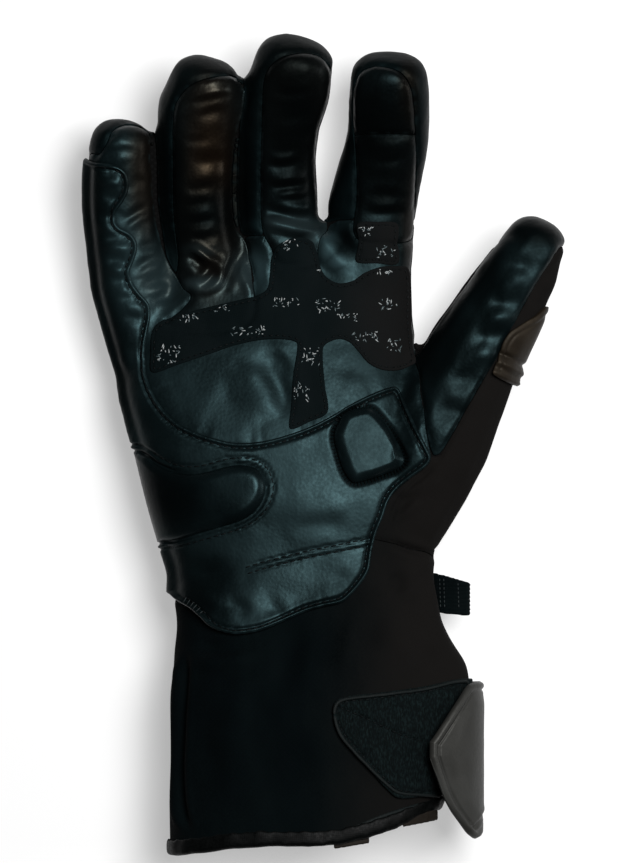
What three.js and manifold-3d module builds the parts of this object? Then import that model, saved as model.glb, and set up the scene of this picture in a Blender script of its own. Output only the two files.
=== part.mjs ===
// A right-hand motorcycle gauntlet glove, lying on its back with the palm up.
// Millimetres. +X points to the thumb's side, +Y to the fingertips and +Z up, out of the palm.
// Each panel is a wall of its own, cut from one hollow shell along the sewn seams. What is sewn on top of the
// walls, such as the heel panel, the pads and the patches, follows the shell's surface a small gap above it.
import * as THREE from "three";
import { mergeVertices } from "three/addons/utils/BufferGeometryUtils.js";
import Module from "manifold-3d";

const wasm = await Module();
wasm.setup();

// Hand: from the wrist to the webs between the fingers
const HAND_LENGTH = 140;
const PALM_WIDTH = 116;
const PALM_DEPTH = 46;
const WRIST_WIDTH = 99;
const WRIST_DEPTH = 44;

// Cuff: from the wrist to the hem
const CUFF_LENGTH = 77;
const CUFF_WIDTH = 111;
const CUFF_DEPTH = 58;

// Fingers, each from its root inside the palm to its tip
const LITTLE_LENGTH = 78.4;
const LITTLE_WIDTH = 27.5;
const LITTLE_DEPTH = 25;
const RING_LENGTH = 101.8;
const RING_WIDTH = 30;
const RING_DEPTH = 27;
const MIDDLE_LENGTH = 98.8;
const MIDDLE_WIDTH = 32;
const MIDDLE_DEPTH = 28;
const INDEX_LENGTH = 93.6;
const INDEX_WIDTH = 33;
const INDEX_DEPTH = 28;
const FINGER_ROOT_HEIGHT = 17.5;

// Thumb, from its root in the ball of the hand to its tip
const THUMB_LENGTH = 125;
const THUMB_WIDTH = 36;
const THUMB_DEPTH = 32;
const THUMB_LEAN_DEG = 27.2;
const THUMB_ROOT_HEIGHT = 21.5;

// Walls and what is sewn on
const WALL = 2.4;
const GAP = 0.3;
const HEEL_PANEL_THICK = 1.4;
const GRIP_THICK = 0.8;
const LOOP_THICK = 1.2;
const GUARD_THICK = 2;
const GUARD_FOLD_THICK = 3.4;
const SLIDER_RISE = 4.2;
const THUMB_PAD_RISE = 4.6;
const BINDING_THICK = 1.1;
const BINDING_WIDTH = 5;
const TAB_THICK = 2.2;
const TAB_STAND = 6.5;
const STRAP_THICK = 1.3;
const STRAP_WIDTH = 14.5;
const STRAP_REACH = 12.5;
const HEM_TAB_WIDTH = 13;
const HEM_TAB_REACH = 4;
const HEM_TAB_THICK = 1;
const HEM_TAB_DEPTH = 0.8;

// Facets
const BODY_SIDES = 26;
const DIGIT_SIDES = 12;
const OUTLINE_STEPS = 3;

// The most of an outline's side that the rounding of one corner takes
const MOST_ROUND = 0.49;

// How square the cross-sections are: 2 is an ellipse
const BODY_POWER = 2.6;
const DIGIT_POWER = 2.3;
const TIP_POWER = 2.5;
const TIP_STATIONS = [0.5, 0.85];

// Above and below everything
const HIGH = 3 * PALM_DEPTH;
const FAR = 3 * HAND_LENGTH;

// The share of the palm's depth at which its front and back panels are sewn together
const SIDE_SEAM = 0.42;

// Sections of the cuff, wrist and palm. at: place along the hand as a share of HAND_LENGTH, or of CUFF_LENGTH
// where it is negative. mid: centre as a share of PALM_WIDTH. wide, deep and lift: shares of the zone's width
// and depth, where lift is the height of the lowest point. slant: rise of the section towards the thumb.
const ZONES = {
  cuff: { width: CUFF_WIDTH, depth: CUFF_DEPTH },
  wrist: { width: WRIST_WIDTH, depth: WRIST_DEPTH },
  palm: { width: PALM_WIDTH, depth: PALM_DEPTH },
};
const BODY = [
  { zone: "cuff", at: -1.17, mid: 0.0, wide: 0.88, deep: 1.0, lift: 0.03, slant: 0.16 },
  { zone: "cuff", at: -1.0, mid: 0.013, wide: 0.893, deep: 1.0, lift: 0.03, slant: 0.16 },
  { zone: "cuff", at: -0.55, mid: 0.049, wide: 0.97, deep: 0.95, lift: 0.05, slant: 0.06 },
  { zone: "cuff", at: -0.34, mid: 0.065, wide: 1.0, deep: 0.9, lift: 0.055, slant: 0 },
  { zone: "cuff", at: -0.19, mid: 0.064, wide: 0.98, deep: 0.83, lift: 0.06, slant: 0 },
  { zone: "wrist", at: -0.075, mid: 0.043, wide: 1.035, deep: 1.03, lift: 0.08, slant: 0 },
  { zone: "wrist", at: 0.013, mid: 0.029, wide: 0.994, deep: 0.97, lift: 0.09, slant: 0 },
  { zone: "wrist", at: 0.132, mid: 0.007, wide: 0.985, deep: 0.97, lift: 0.04, slant: 0 },
  { zone: "palm", at: 0.21, mid: -0.003, wide: 0.89, deep: 0.98, lift: -0.02, slant: 0 },
  { zone: "palm", at: 0.32, mid: -0.017, wide: 0.94, deep: 1.02, lift: -0.035, slant: 0 },
  { zone: "palm", at: 0.5, mid: -0.05, wide: 0.975, deep: 0.98, lift: -0.035, slant: 0.04 },
  { zone: "palm", at: 0.635, mid: -0.089, wide: 0.972, deep: 0.9, lift: -0.035, slant: 0.08 },
  { zone: "palm", at: 0.74, mid: -0.112, wide: 0.942, deep: 0.83, lift: -0.03, slant: 0.18 },
  { zone: "palm", at: 0.846, mid: -0.12, wide: 0.952, deep: 0.74, lift: -0.02, slant: 0.32 },
  { zone: "palm", at: 0.938, mid: -0.127, wide: 0.945, deep: 0.61, lift: 0.05, slant: 0.42 },
  { zone: "palm", at: 0.991, mid: -0.125, wide: 0.885, deep: 0.36, lift: 0.16, slant: 0.42 },
];

// Sections of each finger and the thumb. at and rise: along the digit and up, as shares of its length. side:
// shift of the centre as a share of its width. wide and deep: shares of its width and depth. seamL and seamR:
// where the front panel's two side seams run, as shares of the half width from the centre.
const LITTLE = {
  name: "little",
  length: LITTLE_LENGTH,
  width: LITTLE_WIDTH,
  depth: LITTLE_DEPTH,
  tip: 0.36,
  base: 0.18,
  frontTo: 0.92,
  rows: [
    { at: -0.16, side: 0.1, wide: 0.78, deep: 0.9, rise: 0.0, seamL: -1.6, seamR: 0.85 },
    { at: 0.03, side: 0.0, wide: 0.93, deep: 1.0, rise: 0.0, seamL: -1.6, seamR: 0.85 },
    { at: 0.21, side: -0.08, wide: 1.06, deep: 1.04, rise: 0.006, seamL: -1.6, seamR: 0.85 },
    { at: 0.59, side: -0.22, wide: 0.99, deep: 1.0, rise: 0.057, seamL: -1.6, seamR: 0.87 },
    { at: 0.75, side: -0.22, wide: 0.97, deep: 0.98, rise: 0.102, seamL: -0.5, seamR: 0.87 },
    { at: 0.865, side: -0.21, wide: 0.89, deep: 0.92, rise: 0.145, seamL: -0.1, seamR: 0.8 },
  ],
};
const RING = {
  name: "ring",
  length: RING_LENGTH,
  width: RING_WIDTH,
  depth: RING_DEPTH,
  tip: 0.34,
  base: 0.153,
  frontTo: 0.9,
  rows: [
    { at: 0.0, side: 0.0, wide: 0.91, deep: 1.0, rise: 0.0, seamL: -0.6, seamR: 0.9 },
    { at: 0.15, side: -0.04, wide: 0.91, deep: 1.02, rise: 0.005, seamL: -0.75, seamR: 0.9 },
    { at: 0.47, side: -0.2, wide: 0.93, deep: 1.0, rise: 0.044, seamL: -0.6, seamR: 0.9 },
    { at: 0.65, side: -0.21, wide: 0.96, deep: 1.0, rise: 0.088, seamL: -0.58, seamR: 0.9 },
    { at: 0.8, side: -0.18, wide: 1.02, deep: 1.0, rise: 0.138, seamL: -0.5, seamR: 0.9 },
    { at: 0.885, side: -0.09, wide: 0.93, deep: 0.93, rise: 0.176, seamL: -0.45, seamR: 0.85 },
  ],
};
const MIDDLE = {
  name: "middle",
  length: MIDDLE_LENGTH,
  width: MIDDLE_WIDTH,
  depth: MIDDLE_DEPTH,
  tip: 0.33,
  base: 0.24,
  frontTo: 0.89,
  rows: [
    { at: 0.0, side: 0.0, wide: 0.94, deep: 1.0, rise: 0.0, seamL: -0.5, seamR: 0.9 },
    { at: 0.17, side: -0.05, wide: 0.95, deep: 1.02, rise: 0.005, seamL: -0.5, seamR: 0.9 },
    { at: 0.52, side: -0.08, wide: 0.93, deep: 0.98, rise: 0.066, seamL: -0.4, seamR: 0.9 },
    { at: 0.67, side: -0.05, wide: 0.97, deep: 1.0, rise: 0.116, seamL: -0.45, seamR: 0.9 },
    { at: 0.79, side: 0.04, wide: 1.03, deep: 1.0, rise: 0.162, seamL: -0.6, seamR: 0.9 },
    { at: 0.87, side: 0.11, wide: 0.94, deep: 0.93, rise: 0.203, seamL: -0.7, seamR: 0.85 },
  ],
};
const INDEX = {
  name: "index",
  length: INDEX_LENGTH,
  width: INDEX_WIDTH,
  depth: INDEX_DEPTH,
  tip: 0.33,
  base: 0.316,
  frontTo: 0.89,
  rows: [
    { at: 0.0, side: 0.0, wide: 1.0, deep: 1.0, rise: 0.0, seamL: -0.5, seamR: 0.85 },
    { at: 0.18, side: 0.02, wide: 1.02, deep: 1.02, rise: 0.005, seamL: -0.4, seamR: 0.86 },
    { at: 0.36, side: 0.07, wide: 1.03, deep: 1.0, rise: 0.027, seamL: -0.37, seamR: 0.87 },
    { at: 0.65, side: 0.25, wide: 0.94, deep: 0.96, rise: 0.101, seamL: -0.85, seamR: 0.65 },
    { at: 0.79, side: 0.25, wide: 0.93, deep: 0.96, rise: 0.15, seamL: -0.87, seamR: 0.65 },
    { at: 0.86, side: 0.25, wide: 0.89, deep: 0.91, rise: 0.18, seamL: -0.85, seamR: 0.6 },
  ],
};
const THUMB = {
  name: "thumb",
  length: THUMB_LENGTH,
  width: THUMB_WIDTH,
  depth: THUMB_DEPTH,
  tip: 0.3,
  base: 0,
  frontTo: 0.93,
  rows: [
    { at: -0.09, side: 0.04, wide: 0.82, deep: 1.0, rise: 0.0, seamL: -3, seamR: 0.0 },
    { at: 0.0, side: 0.0, wide: 1.0, deep: 1.23, rise: 0.0, seamL: -3, seamR: 0.04 },
    { at: 0.26, side: -0.05, wide: 1.17, deep: 1.27, rise: 0.016, seamL: -3, seamR: 0.18 },
    { at: 0.4, side: -0.09, wide: 1.1, deep: 1.16, rise: 0.024, seamL: -3, seamR: 0.31 },
    { at: 0.55, side: -0.11, wide: 0.99, deep: 1.06, rise: 0.04, seamL: -3, seamR: 0.46 },
    { at: 0.74, side: -0.08, wide: 0.85, deep: 0.94, rise: 0.064, seamL: -3, seamR: 0.47 },
    { at: 0.83, side: -0.07, wide: 0.77, deep: 0.88, rise: 0.08, seamL: -3, seamR: 0.55 },
    { at: 0.9, side: -0.07, wide: 0.64, deep: 0.78, rise: 0.092, seamL: -3, seamR: 0.7 },
  ],
};

// Roots. The ring and middle fingers sit side by side about the middle finger's axis, and each one further
// out is placed by the widths of those inside it, so that neighbours keep their distance.
const MIDDLE_ROOT = -0.048 * PALM_WIDTH;
const RING_ROOT = MIDDLE_ROOT - 0.46 * MIDDLE_WIDTH - 0.4 * RING_WIDTH;
const LITTLE_ROOT = RING_ROOT - 0.475 * RING_WIDTH - 0.5 * LITTLE_WIDTH;
const INDEX_ROOT = MIDDLE_ROOT + 0.46 * MIDDLE_WIDTH + 0.464 * INDEX_WIDTH;
Object.assign(LITTLE, { rootX: LITTLE_ROOT, rootY: 0.78 * HAND_LENGTH });
Object.assign(RING, { rootX: RING_ROOT, rootY: 0.78 * HAND_LENGTH });
Object.assign(MIDDLE, { rootX: MIDDLE_ROOT, rootY: 0.859 * HAND_LENGTH });
Object.assign(INDEX, { rootX: INDEX_ROOT, rootY: 0.859 * HAND_LENGTH });
Object.assign(THUMB, { rootX: 0.319 * PALM_WIDTH, rootY: 0.2775 * HAND_LENGTH });
const FINGERS = [LITTLE, RING, MIDDLE, INDEX];
for (const digit of FINGERS) {
  digit.lean = 0;
  digit.rootZ = FINGER_ROOT_HEIGHT;
}
THUMB.lean = THREE.MathUtils.degToRad(THUMB_LEAN_DEG);
THUMB.rootZ = THUMB_ROOT_HEIGHT;

const mix = THREE.MathUtils.lerp;

// The row of a table at a place between its rows, with every number interpolated.
function rowAt(rows, place, key = "at") {
  let i = 1;
  while (i < rows.length - 1 && rows[i][key] < place) i++;
  const [low, high] = [rows[i - 1], rows[i]];
  const t = THREE.MathUtils.clamp((place - low[key]) / (high[key] - low[key]), 0, 1);
  const found = {};
  for (const name of Object.keys(low)) {
    if (typeof low[name] === "number") found[name] = mix(low[name], high[name], t);
  }
  return found;
}

// A closed body as a solid that can be cut and joined, with its faces turned to point out.
function solidFrom(positions, triangles) {
  const geometry = new THREE.BufferGeometry();
  geometry.setAttribute("position", new THREE.Float32BufferAttribute(positions, 3));
  geometry.setIndex(triangles);
  return solidOf(geometry);
}

function solidOf(geometry) {
  geometry.deleteAttribute("normal");
  geometry.deleteAttribute("uv");
  const merged = mergeVertices(geometry, 1e-4);
  const vertProperties = merged.attributes.position.array;
  const triVerts = new Uint32Array(merged.index.array);
  const made = new wasm.Manifold(new wasm.Mesh({ numProp: 3, vertProperties, triVerts }));
  if (made.volume() > 0) return made;
  triVerts.reverse();
  return new wasm.Manifold(new wasm.Mesh({ numProp: 3, vertProperties, triVerts }));
}

// A solid's surface as a geometry.
function geometryOf(solid) {
  const data = solid.getMesh();
  const geometry = new THREE.BufferGeometry();
  geometry.setAttribute("position", new THREE.BufferAttribute(data.vertProperties, 3));
  geometry.setIndex(new THREE.BufferAttribute(data.triVerts, 1));
  return geometry;
}

// The triangles of the band between two rings of `sides` points, which start at the places `from` and `to`.
function bandTriangles(sides, from, to) {
  const triangles = [];
  for (let k = 0; k < sides; k++) {
    const next = (k + 1) % sides;
    triangles.push(from + k, from + next, to + next, from + k, to + next, to + k);
  }
  return triangles;
}

// A solid through rings of equally many points. Each end closes on one point: its ring's middle, or the apex.
function loft(rings, apex = null) {
  const sides = rings[0].length;
  const middle = (ring) =>
    ring.reduce((sum, p) => sum.add(p), new THREE.Vector3()).divideScalar(sides);
  const points = [...rings.flat(), middle(rings[0]), apex || middle(rings.at(-1))];
  const [first, last] = [points.length - 2, points.length - 1];
  const triangles = rings.slice(1).flatMap((_, i) => bandTriangles(sides, i * sides, (i + 1) * sides));
  const top = (rings.length - 1) * sides;
  for (let k = 0; k < sides; k++) {
    const next = (k + 1) % sides;
    triangles.push(first, next, k, last, top + k, top + next);
  }
  return solidFrom(
    points.flatMap((p) => p.toArray()),
    triangles,
  );
}

// A solid through rings that come back round to the first one.
function hoop(rings) {
  const sides = rings[0].length;
  const triangles = rings.flatMap((_, i) =>
    bandTriangles(sides, i * sides, ((i + 1) % rings.length) * sides),
  );
  return solidFrom(
    rings.flat().flatMap((p) => p.toArray()),
    triangles,
  );
}

// A point of a rounded cross-section: across and up from its centre.
function superPoint(angle, halfWidth, halfDepth, power) {
  const bend = (v) => Math.sign(v) * Math.abs(v) ** (2 / power);
  return [bend(Math.cos(angle)) * halfWidth, bend(Math.sin(angle)) * halfDepth];
}

// The cuff, wrist and palm as one rounded tube

const BODY_SECTIONS = BODY.map((row) => {
  const { width, depth } = ZONES[row.zone];
  return {
    y: row.at * (row.at < 0 ? CUFF_LENGTH : HAND_LENGTH),
    mid: row.mid * PALM_WIDTH,
    halfWidth: (row.wide * width) / 2,
    halfDepth: (row.deep * depth) / 2,
    low: row.lift * depth,
    slant: row.slant,
  };
});

// A point of the body's surface in the section s, moved out by `out`. The back lies flat on the ground.
function sectionPoint(s, angle, out) {
  const [x, z] = superPoint(angle, s.halfWidth + out, s.halfDepth + out, BODY_POWER);
  const height = Math.max(s.low + s.halfDepth + z, Math.max(0, -out));
  return new THREE.Vector3(s.mid + x, s.y + s.slant * x, height);
}

const BODY_ANGLES = Array.from({ length: BODY_SIDES }, (_, k) => ((k + 0.5) / BODY_SIDES) * 2 * Math.PI);

function bodySolid(out) {
  const rings = BODY_SECTIONS.map((s, i) => {
    const end = i === BODY_SECTIONS.length - 1 ? out : 0;
    const moved = { ...s, y: s.y + end };
    return BODY_ANGLES.map((angle) => sectionPoint(moved, angle, out));
  });
  return loft(rings);
}

// The point of the body's surface, moved out by `out`, where the line along one angle crosses y.
function bodyPoint(angle, y, out) {
  const line = BODY_SECTIONS.map((s) => sectionPoint(s, angle, out));
  let i = 1;
  while (i < line.length - 1 && line[i].y < y) i++;
  const share = (y - line[i - 1].y) / (line[i].y - line[i - 1].y);
  return line[i - 1].clone().lerp(line[i], share);
}

// The fingers and the thumb as tubes with rounded tips

function digitPoint(digit, row) {
  const across = new THREE.Vector3(Math.cos(digit.lean), -Math.sin(digit.lean), 0);
  const along = new THREE.Vector3(Math.sin(digit.lean), Math.cos(digit.lean), 0);
  return new THREE.Vector3(digit.rootX, digit.rootY, digit.rootZ + row.rise * digit.length)
    .addScaledVector(across, row.side * digit.width)
    .addScaledVector(along, row.at * digit.length);
}

// Each section's centre, directions and half sizes, from the root to the last row before the tip.
function digitFrames(digit, rows = digit.rows) {
  const centres = rows.map((row) => digitPoint(digit, row));
  return rows.map((row, i) => {
    const before = centres[Math.max(i - 1, 0)];
    const after = centres[Math.min(i + 1, rows.length - 1)];
    const along = after.clone().sub(before).normalize();
    const across = along.clone().cross(new THREE.Vector3(0, 0, 1)).normalize();
    const up = across.clone().cross(along);
    return {
      centre: centres[i],
      along,
      across,
      up,
      halfWidth: (row.wide * digit.width) / 2,
      halfDepth: (row.deep * digit.depth) / 2,
      row,
    };
  });
}

function framePoint(f, x, z, forward = 0) {
  return f.centre
    .clone()
    .addScaledVector(f.across, x)
    .addScaledVector(f.up, z)
    .addScaledVector(f.along, forward);
}

function digitSolid(digit, out) {
  const frames = digitFrames(digit);
  const ring = (f, halfWidth, halfDepth, forward) =>
    Array.from({ length: DIGIT_SIDES }, (_, k) => {
      const angle = ((k + 0.5) / DIGIT_SIDES) * 2 * Math.PI;
      return framePoint(f, ...superPoint(angle, halfWidth, halfDepth, DIGIT_POWER), forward);
    });
  const rings = frames.map((f) => ring(f, f.halfWidth + out, f.halfDepth + out, 0));
  const last = frames.at(-1);
  const reach = digit.tip * digit.width + out;
  for (const station of TIP_STATIONS) {
    const share = (1 - station ** TIP_POWER) ** (1 / TIP_POWER);
    const [halfWidth, halfDepth] = [last.halfWidth + out, last.halfDepth + out];
    rings.push(ring(last, halfWidth * share, halfDepth * share, reach * station));
  }
  return loft(rings, framePoint(last, 0, 0, reach));
}

// The whole hand's outside, moved out by `out`, or its hollow where `out` is negative.
const made = new Map();
function handSolid(out) {
  if (!made.has(out)) {
    const parts = [bodySolid(out), digitSolid(THUMB, out)];
    for (const finger of FINGERS) parts.push(digitSolid(finger, out));
    made.set(
      out,
      parts.reduce((a, b) => a.add(b)),
    );
  }
  return made.get(out);
}

// Cutting tools

// An upright solid over an outline in the ground plane, grown by `grow` all round.
function prism(outline, low, high, grow = 0) {
  const turning = THREE.ShapeUtils.area(outline) > 0 ? 1 : -1;
  const points = outline.map((p, i) => {
    const before = outline.at(i - 1);
    const after = outline[(i + 1) % outline.length];
    const side = (a, b) => new THREE.Vector2(b.y - a.y, a.x - b.x).normalize();
    const out = side(before, p).add(side(p, after));
    const length = Math.max(out.lengthSq() / 2, 0.2);
    return p.clone().addScaledVector(out, (grow * turning) / length);
  });
  const shape = new THREE.Shape(points);
  const options = { depth: high - low, bevelEnabled: false, steps: 1 };
  const geometry = new THREE.ExtrudeGeometry(shape, options).translate(0, 0, low);
  return solidOf(geometry);
}

// Everything on the fingers' side of a line across the hand, at y where x is 0.
function beyond(y, slant) {
  const corner = (x, line) => new THREE.Vector2(x, line ? y + slant * x : FAR);
  return prism([corner(-FAR, 1), corner(FAR, 1), corner(FAR, 0), corner(-FAR, 0)], -HIGH, HIGH);
}

// An outline with rounded corners. Each row is a corner, in the frame that it names. round: how far from the
// corner its rounding starts, as a share of PALM_WIDTH.
function roundedOutline(rows, place) {
  const corners = rows.map((row) => place(row));
  const path = new THREE.Path();
  const start = corners.at(-1).clone().lerp(corners[0], 0.5);
  path.moveTo(start.x, start.y);
  corners.forEach((corner, i) => {
    const before = corners.at(i - 1);
    const after = corners[(i + 1) % corners.length];
    const reach = (other) => Math.min(rows[i].round * PALM_WIDTH, corner.distanceTo(other) * MOST_ROUND);
    const entry = corner.clone().lerp(before, reach(before) / corner.distanceTo(before));
    const leave = corner.clone().lerp(after, reach(after) / corner.distanceTo(after));
    path.lineTo(entry.x, entry.y);
    if (rows[i].round > 0) path.quadraticCurveTo(corner.x, corner.y, leave.x, leave.y);
  });
  path.closePath();
  const points = path.getPoints(OUTLINE_STEPS);
  return points.filter((p, i) => p.distanceTo(points.at(i - 1)) > GAP / 6);
}

const onPalm = (row) => new THREE.Vector2(row.x * PALM_WIDTH, row.y * HAND_LENGTH);
const onCuff = (row) => new THREE.Vector2(row.x * CUFF_WIDTH, row.y * CUFF_LENGTH);
function onDigit(digit) {
  return (row) => {
    const found = rowAt(digit.rows, row.y);
    const p = digitPoint(digit, { ...found, at: row.y, side: found.side + (row.x * found.wide) / 2 });
    return new THREE.Vector2(p.x, p.y);
  };
}
const PLACES = { palm: onPalm, cuff: onCuff, little: onDigit(LITTLE), thumb: onDigit(THUMB) };
const placed = (row) => PLACES[row.on](row);

// A sheet over an outline, between two heights above the hand's surface and above the ground height `from`.
function sheet(outline, low, high, from, grow = 0) {
  return prism(outline, from, HIGH, grow).intersect(handSolid(high)).subtract(handSolid(low));
}

// The largest body of a cut, without the crumbs that the cut leaves beside it.
function whole(solid) {
  const bodies = solid.decompose().sort((a, b) => b.volume() - a.volume());
  return bodies[0];
}

// Outlines, each corner in the frame it is sewn to: palm and cuff corners are shares of that zone's width and
// length, and a digit's are shares of its half width from its centre and of its length.
const HEEL_OUTLINE = [
  { on: "little", x: -1.8, y: 0.785, round: 0 },
  { on: "little", x: 0.05, y: 0.785, round: 0.026 },
  { on: "little", x: 0.3, y: 0.71, round: 0.043 },
  { on: "little", x: -0.1, y: 0.55, round: 0.052 },
  { on: "little", x: 0.4, y: 0.44, round: 0.034 },
  { on: "little", x: 0.36, y: 0.37, round: 0.034 },
  { on: "little", x: 0.08, y: 0.26, round: 0.052 },
  { on: "palm", x: -0.473, y: 0.84, round: 0.052 },
  { on: "palm", x: -0.487, y: 0.76, round: 0.043 },
  { on: "palm", x: -0.491, y: 0.62, round: 0.103 },
  { on: "palm", x: -0.33, y: 0.475, round: 0.155 },
  { on: "palm", x: -0.06, y: 0.47, round: 0.155 },
  { on: "palm", x: 0.303, y: 0.635, round: 0.026 },
  { on: "palm", x: 0.418, y: 0.436, round: 0.026 },
  { on: "palm", x: 0.28, y: 0.345, round: 0.052 },
  { on: "palm", x: 0.215, y: 0.11, round: 0.052 },
  { on: "palm", x: 0.144, y: 0.055, round: 0.052 },
  { on: "palm", x: -0.07, y: -0.01, round: 0.069 },
  { on: "palm", x: -0.25, y: -0.035, round: 0.086 },
  { on: "palm", x: -0.37, y: 0.055, round: 0.052 },
  { on: "palm", x: -0.8, y: 0.075, round: 0 },
];
const GRIP_OUTLINE = [
  { on: "palm", x: -0.472, y: 0.785, round: 0.026 },
  { on: "palm", x: -0.223, y: 0.854, round: 0.034 },
  { on: "palm", x: -0.095, y: 0.89, round: 0.034 },
  { on: "palm", x: -0.09, y: 1.017, round: 0.06 },
  { on: "palm", x: 0.05, y: 1.017, round: 0.06 },
  { on: "palm", x: 0.075, y: 0.925, round: 0.043 },
  { on: "palm", x: 0.165, y: 0.89, round: 0.043 },
  { on: "palm", x: 0.25, y: 0.945, round: 0.043 },
  { on: "palm", x: 0.335, y: 0.945, round: 0.026 },
  { on: "palm", x: 0.335, y: 0.75, round: 0.034 },
  { on: "palm", x: 0.355, y: 0.675, round: 0.034 },
  { on: "palm", x: 0.29, y: 0.66, round: 0.052 },
  { on: "palm", x: 0.2, y: 0.755, round: 0.052 },
  { on: "palm", x: 0.089, y: 0.752, round: 0.026 },
  { on: "palm", x: 0.086, y: 0.4, round: 0 },
  { on: "palm", x: -0.026, y: 0.4, round: 0 },
  { on: "palm", x: -0.018, y: 0.64, round: 0.026 },
  { on: "palm", x: 0.0, y: 0.765, round: 0.026 },
  { on: "palm", x: -0.16, y: 0.765, round: 0.043 },
  { on: "palm", x: -0.472, y: 0.674, round: 0.026 },
];
const INDEX_GRIP_OUTLINE = [
  { on: "palm", x: 0.178, y: 0.978, round: 0.009 },
  { on: "palm", x: 0.178, y: 1.062, round: 0.009 },
  { on: "palm", x: 0.33, y: 1.062, round: 0.009 },
  { on: "palm", x: 0.33, y: 0.972, round: 0.009 },
];
const SLIDER_OUTLINE = [
  { on: "palm", x: -0.505, y: 0.445, round: 0.026 },
  { on: "palm", x: -0.36, y: 0.405, round: 0.103 },
  { on: "palm", x: -0.09, y: 0.44, round: 0.078 },
  { on: "palm", x: -0.08, y: 0.285, round: 0.121 },
  { on: "palm", x: -0.3, y: 0.235, round: 0.121 },
  { on: "palm", x: -0.432, y: 0.215, round: 0.034 },
];
const THUMB_PAD_OUTLINE = [
  { on: "palm", x: 0.13, y: 0.545, round: 0.043 },
  { on: "palm", x: 0.262, y: 0.585, round: 0.052 },
  { on: "palm", x: 0.362, y: 0.43, round: 0.034 },
  { on: "palm", x: 0.16, y: 0.37, round: 0.043 },
];
const THUMB_ZONE = [
  { on: "palm", x: 0.265, y: 0.02, round: 0 },
  { on: "palm", x: 0.265, y: 0.172, round: 0 },
  { on: "palm", x: 0.421, y: 0.431, round: 0 },
  { on: "palm", x: 0.376, y: 0.634, round: 0 },
  { on: "palm", x: 0.364, y: 0.735, round: 0 },
  { on: "palm", x: 0.447, y: 0.885, round: 0 },
  { on: "palm", x: 0.574, y: 1.176, round: 0 },
  { on: "palm", x: 1.6, y: 1.6, round: 0 },
  { on: "palm", x: 1.6, y: 0.02, round: 0 },
];
const GUARD_OUTLINE = [
  { on: "thumb", x: 1.6, y: 0.795, round: 0 },
  { on: "thumb", x: 0.62, y: 0.745, round: 0.026 },
  { on: "thumb", x: 0.62, y: 0.555, round: 0.026 },
  { on: "thumb", x: 1.6, y: 0.545, round: 0 },
];
const GUARD_FOLD_OUTLINE = [
  { on: "thumb", x: 1.6, y: 0.605, round: 0 },
  { on: "thumb", x: 0.62, y: 0.6, round: 0.017 },
  { on: "thumb", x: 0.6, y: 0.545, round: 0.017 },
  { on: "thumb", x: 1.6, y: 0.545, round: 0 },
];
const LOOP_OUTLINE = [
  { on: "cuff", x: 0.105, y: -0.35, round: 0.043 },
  { on: "cuff", x: 0.567, y: -0.262, round: 0 },
  { on: "cuff", x: 0.567, y: -0.79, round: 0 },
  { on: "cuff", x: 0.31, y: -0.8, round: 0.043 },
  { on: "cuff", x: 0.09, y: -0.44, round: 0.043 },
];

// The hollow shell, and its cuts

const HEM_SLANT = BODY[1].slant;
const HEM_Y = BINDING_THICK + GAP - CUFF_LENGTH;
const CUFF_SEAM_Y = 0.131 * HAND_LENGTH;
const CUFF_SEAM_SLANT = 0.18;
const SEAM_HEIGHT = SIDE_SEAM * PALM_DEPTH;

const outside = handSolid(0).intersect(beyond(HEM_Y, HEM_SLANT));
const shell = outside.subtract(handSolid(-WALL));
const cuff = shell.subtract(beyond(CUFF_SEAM_Y, CUFF_SEAM_SLANT));
const hand = shell.intersect(beyond(CUFF_SEAM_Y + GAP, CUFF_SEAM_SLANT));

// The x of a finger's side at a place along the hand.
function edgeX(finger, y, side) {
  const found = rowAt(finger.rows, (y - finger.rootY) / finger.length);
  return finger.rootX + (found.side + (side * found.wide) / 2) * finger.width;
}

// The ground outline that belongs to one finger, out to half way to its neighbours.
function fingerZone(finger) {
  const i = FINGERS.indexOf(finger);
  const [left, right] = [FINGERS[i - 1], FINGERS[i + 1]];
  const bottom = finger.rootY + finger.base * finger.length;
  const top = bottom + finger.length;
  const steps = 6;
  const line = (side, neighbour) =>
    Array.from({ length: steps + 1 }, (_, k) => {
      const y = mix(bottom, top, k / steps);
      const own = edgeX(finger, y, side);
      const other = neighbour ? edgeX(neighbour, y, -side) : own + (side * finger.width) / 4;
      return new THREE.Vector2((own + other) / 2, y);
    });
  return [...line(1, right), ...line(-1, left).reverse()];
}

// The space over a digit's front panel, between its two side seams and above its mid height.
function frontSpace(digit, from, to, grow = 0) {
  const lowShare = 0.08;
  const stations = [from, ...digit.rows.map((r) => r.at).filter((a) => a > from && a < to), to];
  const rows = stations.map((at) => ({ ...rowAt(digit.rows, at), at }));
  const rings = digitFrames(digit, rows).map((f, i) => {
    const end = (i === 0 ? -1 : i === rows.length - 1 ? 1 : 0) * grow;
    const left = f.row.seamL * f.halfWidth - grow;
    const right = f.row.seamR * f.halfWidth + grow;
    const low = lowShare * f.halfDepth - grow;
    const corners = [
      [left, low],
      [right, low],
      [right, 2 * f.halfDepth],
      [left, 2 * f.halfDepth],
    ];
    return corners.map(([x, z]) => framePoint(f, x, z, end));
  });
  return loft(rings);
}

// The walls, one solid for each panel

const pieces = new Map();
const thumbOutline = roundedOutline(THUMB_ZONE, placed);
const thumbWall = hand.intersect(prism(thumbOutline, -HIGH, HIGH));
const thumbFront = (grow) => frontSpace(THUMB, THUMB.rows[0].at, THUMB.frontTo, grow);
pieces.set("cuff", cuff);
pieces.set("thumb_front", whole(thumbWall.intersect(thumbFront(0))));
pieces.set("thumb_side", whole(thumbWall.subtract(thumbFront(GAP))));

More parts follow.
